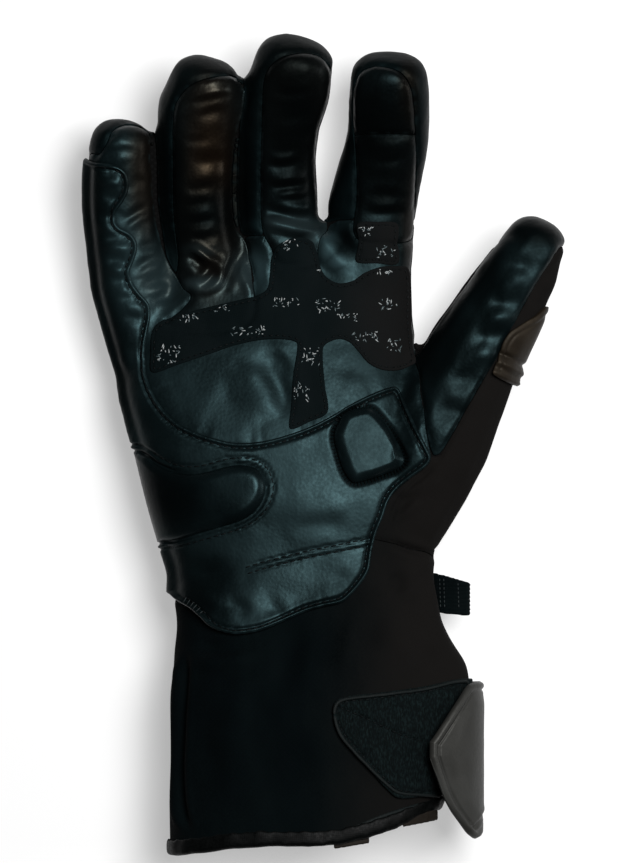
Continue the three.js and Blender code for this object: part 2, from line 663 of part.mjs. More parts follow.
let palmWall = hand.subtract(prism(thumbOutline, -HIGH, HIGH, GAP));
const TOUCH_TIP_FROM = 0.645;
for (const finger of FINGERS) {
  const zone = fingerZone(finger);
  const wall = hand.intersect(prism(zone, -HIGH, HIGH));
  const front = (grow) => frontSpace(finger, finger.base - 0.1, finger.frontTo, grow);
  pieces.set("finger_back_" + finger.name, whole(wall.subtract(front(GAP))));
  if (finger === LITTLE) {
    // The little finger's front runs on into the palm panel with no seam.
    palmWall = palmWall.subtract(prism(zone, -HIGH, HIGH, GAP).subtract(front(0)));
  } else {
    palmWall = palmWall.subtract(prism(zone, -HIGH, HIGH, GAP));
    pieces.set("finger_front_" + finger.name, whole(wall.intersect(front(0))));
  }
}
const touchLine = INDEX.rootY + TOUCH_TIP_FROM * INDEX_LENGTH;
const indexFront = pieces.get("finger_front_index");
pieces.set("touch_tip", whole(indexFront.intersect(beyond(touchLine + GAP, 0))));
pieces.set("finger_front_index", whole(indexFront.subtract(beyond(touchLine, 0))));

// The palm and the back are sewn together at one height around the hand.
const slab = (low, high) => {
  const corner = (x, y) => new THREE.Vector2(x * FAR, y * FAR);
  return prism([corner(-1, -1), corner(1, -1), corner(1, 1), corner(-1, 1)], low, high);
};
pieces.set("palm_panel", whole(palmWall.intersect(slab(SEAM_HEIGHT, HIGH))));
pieces.set("back_panel", whole(palmWall.intersect(slab(-HIGH, SEAM_HEIGHT - GAP))));

// What is sewn on the palm

const heelOutline = roundedOutline(HEEL_OUTLINE, placed);
const HEEL_TOP = GAP + HEEL_PANEL_THICK;
pieces.set("heel_panel", whole(sheet(heelOutline, GAP, HEEL_TOP, SEAM_HEIGHT)));

const gripOutline = roundedOutline(GRIP_OUTLINE, placed);
const grip = sheet(gripOutline, GAP, GAP + GRIP_THICK, SEAM_HEIGHT).subtract(
  prism(heelOutline, -HIGH, HIGH, GAP),
);
pieces.set("grip_patch", whole(grip));
const indexGrip = sheet(roundedOutline(INDEX_GRIP_OUTLINE, placed), GAP, GAP + GRIP_THICK, SEAM_HEIGHT);
pieces.set("index_grip_patch", whole(indexGrip));

// A padded lump over an outline, on the heel panel. Its rings are shares of the outline's size, and their
// heights shares of the rise above the panel below them. Its underside follows the panel.
const PAD_RINGS = [
  { size: 1.0, height: 0.3 },
  { size: 0.95, height: 0.66 },
  { size: 0.85, height: 0.88 },
  { size: 0.66, height: 0.98 },
  { size: 0.35, height: 1.0 },
];
const PAD_DEPTH = 4;
const PAD_BASE = HEEL_TOP + GAP;
const padGround = new THREE.Mesh(geometryOf(handSolid(PAD_BASE)));
const down = new THREE.Vector3(0, 0, -1);
const ray = new THREE.Raycaster();
function groundHeight(p) {
  ray.set(new THREE.Vector3(p.x, p.y, HIGH), down);
  return ray.intersectObject(padGround)[0].point.z;
}
function pad(outline, rise) {
  const middle = outline.reduce((sum, p) => sum.add(p), new THREE.Vector2()).divideScalar(outline.length);
  const ring = (size, height) =>
    outline.map((corner) => {
      const p = middle.clone().lerp(corner, size);
      return new THREE.Vector3(p.x, p.y, groundHeight(p) + height);
    });
  const rings = [ring(1, -PAD_DEPTH), ...PAD_RINGS.map((row) => ring(row.size, row.height * rise))];
  return whole(loft(rings).subtract(handSolid(PAD_BASE)));
}
pieces.set("palm_slider", pad(roundedOutline(SLIDER_OUTLINE, placed), SLIDER_RISE));
pieces.set("thumb_heel_pad", pad(roundedOutline(THUMB_PAD_OUTLINE, placed), THUMB_PAD_RISE));

// The thumb's guard, with the thick fold along its lower edge.
const GUARD_LOW = 0.35 * THUMB_ROOT_HEIGHT;
const guardSheet = (rows, thick) => sheet(roundedOutline(rows, placed), GAP, GAP + thick, GUARD_LOW);
const guard = guardSheet(GUARD_OUTLINE, GUARD_THICK).add(guardSheet(GUARD_FOLD_OUTLINE, GUARD_FOLD_THICK));
pieces.set("thumb_guard", whole(guard));

// What is sewn on the cuff

const loopOutline = roundedOutline(LOOP_OUTLINE, placed);
pieces.set("loop_patch", whole(sheet(loopOutline, GAP, GAP + LOOP_THICK, CUFF_DEPTH / 2)));

// The binding wraps the hem inside and out. Its profile: distance from the hand's surface, and place along the
// hand from the hem.
const [BIND_OUT, BIND_IN] = [GAP + BINDING_THICK, -WALL - GAP - BINDING_THICK];
const BINDING_PROFILE = [
  { out: GAP, along: BINDING_WIDTH },
  { out: BIND_OUT, along: BINDING_WIDTH },
  { out: BIND_OUT, along: -GAP - BINDING_THICK },
  { out: BIND_IN, along: -GAP - BINDING_THICK },
  { out: BIND_IN, along: BINDING_WIDTH },
  { out: -WALL - GAP, along: BINDING_WIDTH },
  { out: -WALL - GAP, along: -GAP },
  { out: GAP, along: -GAP },
];
const bindingRings = BODY_ANGLES.map((angle) => {
  const hem = HEM_Y + HEM_SLANT * bodyPoint(angle, HEM_Y, 0).x;
  return BINDING_PROFILE.map(({ out, along }) => bodyPoint(angle, hem + along, out));
});
pieces.set("hem_binding", hoop(bindingRings));

// A flat band that bends about the hand. Rows give a line around the hand and its outward direction, the two
// ends of the band's width, and its two faces' distances from that line.
function ribbon(rows) {
  const rings = rows.map(({ point, normal, low, high, from, to }) => {
    const end = (y, out) => new THREE.Vector3(point.x, y, point.z).addScaledVector(normal, out);
    return [end(low, from), end(high, from), end(high, to), end(low, to)];
  });
  return loft(rings);
}

// A point around the body and its outward direction, at a distance `out` from it.
function aroundBody(y, degrees, out) {
  const s = { ...rowAt(BODY_SECTIONS, y, "y"), slant: 0 };
  const angle = THREE.MathUtils.degToRad(degrees);
  const at = (a) => sectionPoint(s, a, out);
  const step = 0.05;
  const run = at(angle + step).sub(at(angle - step));
  const normal = new THREE.Vector3(run.z, 0, -run.x).normalize();
  return { point: at(angle), normal };
}

// The closure tab: its root is sewn to the cuff's back, and it stands open around the thumb's side. angle is
// around the cuff from the thumb's side, stand the distance from the cuff as a share of TAB_STAND, and low and
// high are the ends of its width as shares of CUFF_LENGTH.
const TAB = [
  { angle: -112, stand: 0, low: -0.76, high: -0.37 },
  { angle: -95, stand: 0, low: -0.79, high: -0.34 },
  { angle: -72, stand: 0.08, low: -0.84, high: -0.31 },
  { angle: -45, stand: 0.4, low: -0.93, high: -0.29 },
  { angle: -22, stand: 0.85, low: -1.0, high: -0.275 },
  { angle: -6, stand: 1.0, low: -1.03, high: -0.27 },
  { angle: 8, stand: 1.0, low: -1.035, high: -0.265 },
  { angle: 18, stand: 1.0, low: -1.02, high: -0.265 },
  { angle: 26, stand: 0.98, low: -0.99, high: -0.275 },
  { angle: 32, stand: 0.96, low: -0.94, high: -0.33 },
  { angle: 38, stand: 0.93, low: -0.885, high: -0.39 },
  { angle: 43, stand: 0.9, low: -0.81, high: -0.45 },
  { angle: 48, stand: 0.87, low: -0.69, high: -0.515 },
  { angle: 50.5, stand: 0.85, low: -0.62, high: -0.545 },
];
const ROOT_DEPTH = 1;
const TAB_Y = -0.6 * CUFF_LENGTH;
const tabRows = TAB.map(({ angle, stand, low, high }) => ({
  ...aroundBody(TAB_Y, angle, GAP + stand * TAB_STAND),
  low: low * CUFF_LENGTH,
  high: high * CUFF_LENGTH,
  from: stand > 0 ? 0 : -ROOT_DEPTH,
  to: TAB_THICK,
}));
const bindingSpace = bodySolid(BIND_OUT + GAP).subtract(beyond(HEM_Y + BINDING_WIDTH + GAP, HEM_SLANT));
const tabClear = handSolid(GAP).add(bindingSpace);
pieces.set("closure_tab", whole(ribbon(tabRows).subtract(tabClear)));

// The wrist strap runs across the back of the wrist, and its free end sticks out past the thumb's side.
const STRAP = [
  { angle: -150, fall: 0 },
  { angle: -125, fall: 0 },
  { angle: -105, fall: 0 },
  { angle: -90, fall: 0 },
  { angle: -75, fall: 0 },
  { angle: -55, fall: 0 },
  { angle: -30, fall: 0 },
  { angle: -12, fall: 0.01 },
];
// x and z: from where it leaves the wrist, as shares of STRAP_REACH. fall and narrow: shares of STRAP_WIDTH.
const STRAP_FREE = [
  { x: 0.25, z: 0.25, fall: 0.05, narrow: 0 },
  { x: 0.6, z: 0.4, fall: 0.1, narrow: 0.04 },
  { x: 1, z: 0.5, fall: 0.14, narrow: 0.1 },
];
const STRAP_Y = 0.085 * HAND_LENGTH;
const strapWidth = (fall, narrow = 0) => ({
  low: STRAP_Y - (0.5 + fall - narrow / 2) * STRAP_WIDTH,
  high: STRAP_Y + (0.5 - fall - narrow) * STRAP_WIDTH,
  to: STRAP_THICK,
});
const strapRoot = STRAP.map(({ angle, fall }) => ({
  ...aroundBody(STRAP_Y, angle, GAP),
  ...strapWidth(fall),
  from: -ROOT_DEPTH,
}));
const strapEdge = strapRoot.at(-1).point;
const strapEnd = STRAP_FREE.map(({ x, z, fall, narrow }) => ({
  point: strapEdge.clone().add(new THREE.Vector3(x * STRAP_REACH, 0, z * STRAP_REACH)),
  normal: new THREE.Vector3(0.4, 0, -1).normalize(),
  ...strapWidth(fall, narrow),
  from: 0,
}));
const strap = ribbon([...strapRoot, ...strapEnd]).subtract(handSolid(GAP));
pieces.set("wrist_strap", whole(strap));

// Two short fabric tabs hang out below the hem, sewn in behind the binding.
const HEM_TABS = [
  { name: "hem_tab_middle", x: 0.17 },
  { name: "hem_tab_side", x: 0.36 },
];
const tabLayer = bodySolid(-HEM_TAB_DEPTH).subtract(bodySolid(-HEM_TAB_DEPTH - HEM_TAB_THICK));
for (const { name, x } of HEM_TABS) {
  const left = x * CUFF_WIDTH - HEM_TAB_WIDTH / 2;
  const upper = (across) => HEM_Y + HEM_SLANT * across - BINDING_THICK - 2 * GAP;
  const outline = [
    new THREE.Vector2(left, upper(left) - HEM_TAB_REACH),
    new THREE.Vector2(left + HEM_TAB_WIDTH, upper(left + HEM_TAB_WIDTH) - HEM_TAB_REACH),
    new THREE.Vector2(left + HEM_TAB_WIDTH, upper(left + HEM_TAB_WIDTH)),
    new THREE.Vector2(left, upper(left)),
  ];
  pieces.set(name, prism(outline, CUFF_DEPTH / 2, HIGH).intersect(tabLayer));
}

// Materials and the scene graph

const LEATHER = { color: 0x15191a, roughness: 0.38, metalness: 0 };
const SOFTSHELL = { color: 0x0e1213, roughness: 0.9, metalness: 0 };
const MATERIALS = {
  cuff: SOFTSHELL,
  thumb_side: SOFTSHELL,
  grip_patch: { color: 0x111415, roughness: 0.75, metalness: 0 },
  index_grip_patch: { color: 0x111415, roughness: 0.75, metalness: 0 },
  loop_patch: { color: 0x0c1314, roughness: 1, metalness: 0 },
  hem_binding: { color: 0x101415, roughness: 0.6, metalness: 0 },
  wrist_strap: { color: 0x0b1012, roughness: 0.7, metalness: 0 },
};

function meshOf(name, solid) {
  const geometry = geometryOf(solid).toNonIndexed();
  geometry.computeVertexNormals();
  const mesh = new THREE.Mesh(geometry, new THREE.MeshStandardMaterial(MATERIALS[name] || LEATHER));
  mesh.name = name;
  return mesh;
}

const glove = new THREE.Group();
for (const [name, solid] of pieces) glove.add(meshOf(name, solid));

// The origin is on the ground, under the middle of the glove.
const bounds = new THREE.Box3().setFromObject(glove);
glove.position.set(-(bounds.min.x + bounds.max.x) / 2, -(bounds.min.y + bounds.max.y) / 2, -bounds.min.z);

export default glove;
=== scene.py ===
"""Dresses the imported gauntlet: leather, textile, pads, seams and stitches over the CAD walls."""

import bpy
import numpy as np
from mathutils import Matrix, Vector
from mathutils.bvhtree import BVHTree
from mathutils.kdtree import KDTree


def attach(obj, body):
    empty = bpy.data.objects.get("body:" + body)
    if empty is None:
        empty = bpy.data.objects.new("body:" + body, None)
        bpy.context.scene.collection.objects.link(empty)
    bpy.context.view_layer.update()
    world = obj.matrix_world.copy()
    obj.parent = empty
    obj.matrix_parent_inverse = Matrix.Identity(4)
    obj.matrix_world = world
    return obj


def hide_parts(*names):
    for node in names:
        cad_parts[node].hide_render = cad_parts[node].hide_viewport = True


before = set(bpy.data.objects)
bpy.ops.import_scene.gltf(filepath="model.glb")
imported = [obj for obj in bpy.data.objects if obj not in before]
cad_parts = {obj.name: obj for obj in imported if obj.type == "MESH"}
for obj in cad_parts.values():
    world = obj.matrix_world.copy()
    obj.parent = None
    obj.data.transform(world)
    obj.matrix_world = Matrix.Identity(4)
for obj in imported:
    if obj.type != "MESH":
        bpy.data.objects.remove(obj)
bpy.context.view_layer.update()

# Lengths below are in millimetres, as in the part's source. They become metres when a mesh is made.
MM = 0.001

# The photograph's scale and middle, and the CAD frame's place in it
PIXEL = 0.37
PHOTO_X, PHOTO_Y = 322.865, 444.03
PHOTO_WIDTH, PHOTO_HEIGHT = 618, 863

# The smooth hand's grid, how often its points are averaged, and how far distances to a panel are measured
GRID = 0.98
LINING_GRID = 2.3
BASE_ROUNDS = 29
SETTLE_PASSES = 2
SETTLE_ROUNDS = 21
LAST_ROUNDS = 3
LINING_ROUNDS = 10
FIELD_ROUNDS = 7
FIELD_REACH = 8.0
AVERAGE_SHARE = 0.9
LINE_STEP = 0.7
FAR_AWAY = 1e9
TINY = 1e-12


def mm_of(px, py):
    """The place in the CAD's ground plane that the photograph's pixel shows, in millimetres."""
    return ((px - PHOTO_X) * PIXEL, (PHOTO_Y - py) * PIXEL)


def column_x(px):
    return mm_of(px, 0)[0]


def row_y(py):
    return mm_of(0, py)[1]


# Meshes as arrays


def arrays_of(mesh):
    points = np.empty(len(mesh.vertices) * 3, np.float32)
    mesh.vertices.foreach_get("co", points)
    mesh.calc_loop_triangles()
    triangles = np.empty(len(mesh.loop_triangles) * 3, np.int32)
    mesh.loop_triangles.foreach_get("vertices", triangles)
    return points.reshape(-1, 3).astype(float), triangles.reshape(-1, 3).astype(np.int64)


def welded(points, triangles, step=0.002):
    cells = np.round(points / step).astype(np.int64)
    _, first, place = np.unique(cells, axis=0, return_index=True, return_inverse=True)
    triangles = place.reshape(-1)[triangles]
    a, b, c = triangles.T
    return points[first], triangles[(a != b) & (b != c) & (c != a)]


def node_arrays(name):
    points, triangles = arrays_of(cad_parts[name].data)
    return welded(points / MM, triangles)


def edges_of(triangles):
    return np.concatenate([triangles[:, [0, 1]], triangles[:, [1, 2]], triangles[:, [2, 0]]])


def compact(points, triangles):
    used = np.unique(triangles)
    place = np.full(len(points), -1)
    place[used] = np.arange(len(used))
    return points[used], place[triangles], used


def fill_mesh(mesh, points, triangles):
    mesh.vertices.add(len(points))
    mesh.vertices.foreach_set("co", points.astype(np.float32).ravel())
    mesh.loops.add(len(triangles) * 3)
    mesh.loops.foreach_set("vertex_index", triangles.astype(np.int32).ravel())
    mesh.polygons.add(len(triangles))
    mesh.polygons.foreach_set("loop_start", np.arange(0, len(triangles) * 3, 3, dtype=np.int32))
    mesh.update()


def linked(name, data):
    thing = bpy.data.objects.new(name, data)
    bpy.context.scene.collection.objects.link(thing)
    return thing


def remeshed(points, triangles, voxel):
    """The surface as one even grid of quads, cut to triangles."""
    mesh = bpy.data.meshes.new("work")
    fill_mesh(mesh, points, triangles)
    work = linked("work", mesh)
    modifier = work.modifiers.new("remesh", "REMESH")
    modifier.mode = "VOXEL"
    modifier.voxel_size = voxel
    graph = bpy.context.evaluated_depsgraph_get()
    done = bpy.data.meshes.new_from_object(work.evaluated_get(graph))
    out = arrays_of(done)
    bpy.data.objects.remove(work)
    bpy.data.meshes.remove(mesh)
    bpy.data.meshes.remove(done)
    return out


class Near:
    """Each vertex's neighbours, for averaging over a mesh."""

    def __init__(self, count, triangles):
        pairs = edges_of(triangles)
        both = np.concatenate([pairs, pairs[:, ::-1]])
        key = np.unique(both[:, 0] * count + both[:, 1])
        self.own, self.other = key // count, key % count
        self.start = np.searchsorted(self.own, np.arange(count))
        self.degree = np.bincount(self.own, minlength=count).astype(float)

    def mean(self, values):
        total = np.add.reduceat(values[self.other], self.start, axis=0)
        return total / (self.degree[:, None] if values.ndim > 1 else self.degree)

    def smoothed(self, values, rounds, fixed=None):
        out = values.astype(float)
        for _ in range(rounds):
            step = AVERAGE_SHARE * (self.mean(out) - out)
            if fixed is not None:
                step[fixed] = 0
            out = out + step
        return out


def normals_of(points, triangles):
    a, b, c = (points[triangles[:, k]] for k in range(3))
    face = np.cross(b - a, c - a)
    out = np.zeros_like(points)
    for k in range(3):
        for axis in range(3):
            out[:, axis] += np.bincount(triangles[:, k], face[:, axis], len(points))
    return unit(out)


def pieces_of(count, triangles):
    """A label for each vertex, the same all over one connected part."""
    label = np.arange(count)
    edges = np.concatenate([triangles[:, [0, 1]], triangles[:, [1, 2]]])
    while True:
        low = np.minimum(label[edges[:, 0]], label[edges[:, 1]])
        new = label.copy()
        np.minimum.at(new, edges[:, 0], low)
        np.minimum.at(new, edges[:, 1], low)
        new = new[new]
        if (new == label).all():
            return label
        label = new


def tree_of(points, triangles):
    return BVHTree.FromPolygons(points.tolist(), triangles.tolist())


def unit(v):
    return v / np.maximum(np.linalg.norm(v, axis=-1, keepdims=True), TINY)


def kd_tree(points):
    tree = KDTree(len(points))
    for i, p in enumerate(points.tolist()):
        tree.insert(p, i)
    tree.balance()
    return tree


def smooth_step(low, high, x):
    t = np.clip((x - low) / (high - low), 0, 1)
    return t * t * (3 - 2 * t)


# Whole numbers that scramble a cell's place into its value, and how far one seed's cells lie from the next
SCRAMBLE = (374761393, 668265263, 2147483647)
SCRAMBLE_SEED = 1274126177
SCRAMBLE_MORE = 1103515245
SEED_STEP = 17.31
HALF_RANGE = 32767.5


def noise(points, size, seed=0):
    """Smooth seeded noise between -1 and 1, over cells of `size`."""
    q = points / size + seed * SEED_STEP
    cell = np.floor(q).astype(np.int64)
    f = q - cell
    f = f * f * (3 - 2 * f)
    total = np.zeros(len(points))
    for corner in range(8):
        bits = np.array([corner & 1, corner >> 1 & 1, corner >> 2 & 1])
        at = cell + bits
        h = (at * SCRAMBLE).sum(1) + seed * SCRAMBLE_SEED
        h = (h ^ (h >> 13)) * SCRAMBLE_MORE & 0xFFFFFFFF
        h = (h ^ (h >> 16)) & 0xFFFF
        weight = np.prod(np.where(bits, f, 1 - f), axis=1)
        total += weight * (h / HALF_RANGE - 1)
    return total


def turned(rows, first):
    return np.take_along_axis(rows, (first[:, None] + np.arange(3)) % 3, axis=1)


def clip(points, triangles, field, extra):
    """The part of a mesh where the field is below zero, with its edge cut exactly."""
    data = np.column_stack([points, extra])
    inside = field[triangles] < 0
    count = inside.sum(1)
    out = [triangles[count == 3]]
    one = triangles[count == 1]
    one = turned(one, np.argmax(inside[count == 1], axis=1))
    two = triangles[count == 2]
    two = turned(two, np.argmin(inside[count == 2], axis=1))
    n = len(points)
    keys = np.concatenate([one[:, [0, 1]], one[:, [0, 2]], two[:, [0, 1]], two[:, [0, 2]]])
    keys.sort(axis=1)
    code, place = np.unique(keys[:, 0] * n + keys[:, 1], return_inverse=True)
    place = place.reshape(-1) + n
    low, high = code // n, code % n
    share = field[low] / (field[low] - field[high])
    fresh = data[low] + (data[high] - data[low]) * share[:, None]
    a, b = place[: len(one)], place[len(one) : 2 * len(one)]
    out.append(np.column_stack([one[:, 0], a, b]))
    rest = place[2 * len(one) :]
    c, d = rest[: len(two)], rest[len(two) :]
    out.append(np.column_stack([c, two[:, 1], two[:, 2]]))
    out.append(np.column_stack([c, two[:, 2], d]))
    data = np.concatenate([data, fresh])
    data, new, _ = compact(data, np.concatenate(out))
    return data[:, :3], new, data[:, 3:]


def border_of(triangles):
    """The directed edges that only one triangle has."""
    edges = edges_of(triangles)
    n = edges.max() + 1
    key = edges[:, 0] * n + edges[:, 1]
    back = edges[:, 1] * n + edges[:, 0]
    return edges[~np.isin(key, back)]


def with_skirt(points, triangles, normals, profile, extra):
    """Rolls a panel's free edge over and down. profile: (out, up) steps from the edge, in millimetres."""
    edges = border_of(triangles)
    rim = np.unique(edges)
    place = np.full(len(points), -1)
    place[rim] = np.arange(len(rim))
    a, b = place[edges[:, 0]], place[edges[:, 1]]
    normal = normals[rim]
    away = np.zeros((len(rim), 3))
    tangent = points[edges[:, 1]] - points[edges[:, 0]]
    side = np.cross(tangent, normals[edges[:, 0]])
    np.add.at(away, a, side)
    np.add.at(away, b, side)
    away = unit(away)
    for _ in range(4):
        more = away.copy()
        np.add.at(more, a, away[b])
        np.add.at(more, b, away[a])
        away = unit(more)
    rings = [points[rim] + away * out + normal * up for out, up in profile]
    fresh = []
    inner_a, inner_b = edges[:, 0], edges[:, 1]
    for k in range(len(rings)):
        first = len(points) + k * len(rim)
        outer_a, outer_b = first + a, first + b
        fresh.append(np.column_stack([inner_b, inner_a, outer_a]))
        fresh.append(np.column_stack([inner_b, outer_a, outer_b]))
        inner_a, inner_b = outer_a, outer_b
    more = np.concatenate([extra] + [extra[rim]] * len(rings))
    return np.concatenate([points] + rings), np.concatenate([triangles] + fresh), more


def stacked(*rows):
    return [np.column_stack(row) for row in rows]


def refined(points, triangles, split):
    """Halves each edge with both ends marked. Gives the new triangles, and each new point's two parents."""
    n = len(points)
    edges = np.stack([triangles[:, [0, 1]], triangles[:, [1, 2]], triangles[:, [2, 0]]], axis=1)
    low, high = edges.min(2), edges.max(2)
    marked = split[low] & split[high]
    code = low * n + high
    unique = np.unique(code[marked])
    parents = np.column_stack([unique // n, unique % n])
    middle = np.where(marked, np.searchsorted(unique, np.minimum(code, unique[-1])) + n, -1)
    count = marked.sum(1)
    out = [triangles[count == 0]]
    a, b, c = triangles[count == 3].T
    ab, bc, ca = middle[count == 3].T
    out += stacked((a, ab, ca), (ab, b, bc), (ca, bc, c), (ab, bc, ca))
    first = np.argmax(marked[count == 1], axis=1)
    a, b, c = turned(triangles[count == 1], first).T
    ab = turned(middle[count == 1], first)[:, 0]
    out += stacked((a, ab, c), (ab, b, c))
    first = (np.argmin(marked[count == 2], axis=1) + 1) % 3
    a, b, c = turned(triangles[count == 2], first).T
    ab, bc, _ = turned(middle[count == 2], first).T
    out += stacked((ab, b, bc), (a, ab, bc), (a, bc, c))
    return np.concatenate(out), parents


class Line:
    """A smooth line through pixels of the photograph, laid in the ground plane in millimetres."""

    def __init__(self, rows=None, closed=False, points=None):
        p = np.array([mm_of(*row) for row in rows]) if points is None else points
        n = len(p)
        spans = n if closed else n - 1
        t = np.linspace(0, 1, 24, endpoint=False)[:, None]
        parts = []
        for i in range(spans):
            a, b, c, d = (p[k % n] if closed else p[min(max(k, 0), n - 1)] for k in (i - 1, i, i + 1, i + 2))
            bend = 2 * a - 5 * b + 4 * c - d + t * (3 * (b - c) + d - a)
            parts.append(b + 0.5 * t * ((c - a) + t * bend))
        dense = np.concatenate(parts + [p[:1] if closed else p[-1:]])
        run = np.concatenate([[0], np.cumsum(np.linalg.norm(np.diff(dense, axis=0), axis=1))])
        count = max(int(run[-1] / LINE_STEP), 3)
        at = np.linspace(0, run[-1], count + 1)
        self.points = np.column_stack([np.interp(at, run, dense[:, k]) for k in (0, 1)])
        self.length, self.along, self.closed = run[-1], at, closed
        x, y = self.points.T
        self.tree = kd_tree(np.column_stack([x, y, np.zeros(len(x))]))
        self.turn = np.sign((x * np.roll(y, -1) - np.roll(x, -1) * y).sum()) if closed else 1.0

    def at(self, run):
        """The place that far along the line."""
        return np.array([np.interp(run, self.along, self.points[:, k]) for k in (0, 1)])

    def near(self, points, reach):
        """The points within reach of the line's box: which, how far, how far along, and on which side."""
        xy = points[:, :2]
        low, high = self.points.min(0) - reach, self.points.max(0) + reach
        close = np.flatnonzero(((xy > low) & (xy < high)).all(1))
        if not len(close):
            return close, np.zeros(0), np.zeros(0), np.zeros(0)
        q = xy[close]
        hit = np.array([self.tree.find((x, y, 0))[1] for x, y in q.tolist()])
        best = np.full(len(q), FAR_AWAY)
        along, side = np.zeros(len(q)), np.ones(len(q))
        last = len(self.points) - 1
        for shift in (-1, 0):
            i = hit + shift
            if self.closed:
                i = i % last
            i = np.clip(i, 0, last - 1)
            a, b = self.points[i], self.points[i + 1]
            run = b - a
            t = np.clip(((q - a) * run).sum(1) / np.maximum((run**2).sum(1), 1e-9), 0, 1)
            off = q - a - run * t[:, None]
            d = np.hypot(*off.T)
            better = d < best
            best[better] = d[better]
            along[better] = (self.along[i] + t * (self.along[i + 1] - self.along[i]))[better]
            side[better] = np.sign(run[:, 0] * off[:, 1] - run[:, 1] * off[:, 0] + TINY)[better]
        return close, best, along, side * self.turn

    def field(self, points):
        """Distance outside a closed line, below zero inside it."""
        out = np.full(len(points), FIELD_REACH)
        close, d, _, side = self.near(points, FIELD_REACH)
        out[close] = np.where(side > 0, -d, d)
        return out

    def moved(self, out):
        """The same line moved sideways: outwards where it is closed, otherwise to its right."""
        p = self.points[:-1] if self.closed else self.points
        if self.closed:
            run = np.roll(p, -1, axis=0) - np.roll(p, 1, axis=0)
        else:
            run = np.gradient(p, axis=0)
        away = unit(np.column_stack([run[:, 1], -run[:, 0]])) * self.turn
        return Line(points=(p + away * out)[::2], closed=self.closed)


# The smooth hand: one even surface over the CAD walls, and how far each point is from each panel

WALLS = [
    "cuff", "palm_panel", "back_panel", "thumb_front", "thumb_side", "touch_tip",
    "finger_front_ring", "finger_front_middle", "finger_front_index",
    "finger_back_little", "finger_back_ring", "finger_back_middle", "finger_back_index",
]
# How far the walls swell before they are joined, so that no gap stays between them
WALL_GROW = 0.5
# The hem's line on the ground plane, and the strip inside it that is cut away, in grid cells and millimetres
HEM_Y, HEM_SLANT = -141.2, 0.16
HEM_CUT_CELLS, HEM_CUT = 0.9, 0.4


def joined(names, grow):
    points, triangles, count = [], [], 0
    for name in names:
        p, t = node_arrays(name)
        points.append(p + normals_of(p, t) * grow)
        triangles.append(t + count)
        count += len(p)
    return np.concatenate(points), np.concatenate(triangles)


def hand_surfaces(voxel):
    """The walls' outer surface, and their inner one."""
    points, triangles = remeshed(*joined(WALLS, WALL_GROW), voxel)
    past_hem = points[:, 1] - HEM_SLANT * points[:, 0] < HEM_Y + HEM_CUT_CELLS * voxel + HEM_CUT
    triangles = triangles[~past_hem[triangles].any(1)]
    points, triangles, _ = compact(points, triangles)
    label = pieces_of(len(points), triangles)
    names, sizes = np.unique(label, return_counts=True)
    order = names[np.argsort(-sizes)][:2]
    found = []
    for name in order:
        p, t, _ = compact(points, triangles[(label == name)[triangles[:, 0]]])
        found.append((np.ptp(p, axis=0).sum(), p, t))
    found.sort(key=lambda row: -row[0])
    return [row[1:] for row in found]


def closest(tree, points, reach=FAR_AWAY):
    """Nearest place on a tree for each point, with its distance; the reach where there is none."""
    where, far = np.zeros((len(points), 3)), np.full(len(points), float(reach))
    for i, p in enumerate(points.tolist()):
        hit = tree.find_nearest(p, reach)
        if hit[0] is not None:
            where[i] = hit[0]
            far[i] = hit[3]
    return where, far


(base, faces), _ = hand_surfaces(GRID)
_, (lining, lining_faces) = hand_surfaces(LINING_GRID)
near = Near(len(base), faces)
edge_points = np.zeros(len(base), bool)
edge_points[np.unique(border_of(faces))] = True
wall_tree = tree_of(*joined(WALLS, 0))
base = near.smoothed(base, BASE_ROUNDS, edge_points)
for _ in range(SETTLE_PASSES):
    normal = normals_of(base, faces)
    wall_points, _ = closest(wall_tree, base)
    off = near.smoothed(((base - wall_points) * normal).sum(1), SETTLE_ROUNDS)
    base = base - normal * off[:, None]
    base = near.smoothed(base, LAST_ROUNDS, edge_points)
normal = unit(near.smoothed(normals_of(base, faces), 2))

# The height of the seam round the hand's side: what is sewn to the palm stays above it
SEAM_Z = 19.3

# Outlines of what is sewn on, and lines sewn or pressed into it, as the photograph's pixels
HEEL_EDGE = [
    (70, 150), (92, 161), (105, 163), (119, 166), (127, 172), (130, 182), (129, 193), (124, 203),
    (118, 212), (117, 220), (121, 227), (131, 233), (137, 241), (138, 250), (135, 261), (131, 272),
    (133, 281), (140, 292), (149, 303), (151, 316), (149, 330), (147, 345), (147, 362), (149, 378),
    (156, 395), (166, 410), (180, 423), (195, 431), (212, 437), (235, 442), (260, 441), (285, 435),
    (310, 426), (330, 416), (350, 404), (370, 394), (389, 387), (397, 388), (404, 398), (415, 423),
    (427, 447), (431, 457), (427, 466), (410, 479), (396, 491), (388, 502), (383, 516), (377, 531),
    (373, 546), (371, 559), (369, 570), (362, 582), (350, 596), (340, 603), (322, 607), (305, 612),
    (285, 621), (262, 631), (240, 635), (225, 633), (212, 627), (203, 617), (194, 608), (182, 600),
    (172, 592), (150, 588), (110, 590), (90, 400), (60, 250),
]
SLIDER_EDGE = [
    (128, 453), (146, 455), (160, 464), (176, 471), (192, 473), (208, 471), (226, 466), (242, 464),
    (256, 467), (264, 475), (267, 488), (263, 502), (254, 513), (241, 521), (222, 527), (198, 534),
    (176, 540), (164, 541), (150, 542), (130, 500),
]
THUMB_PAD_GROOVE = [
    (337, 423), (344, 413), (358, 408), (370, 408), (381, 418), (393, 434), (402, 448), (406, 461),
    (398, 470), (384, 475), (366, 481), (352, 483), (343, 472), (337, 455), (333, 437),
]
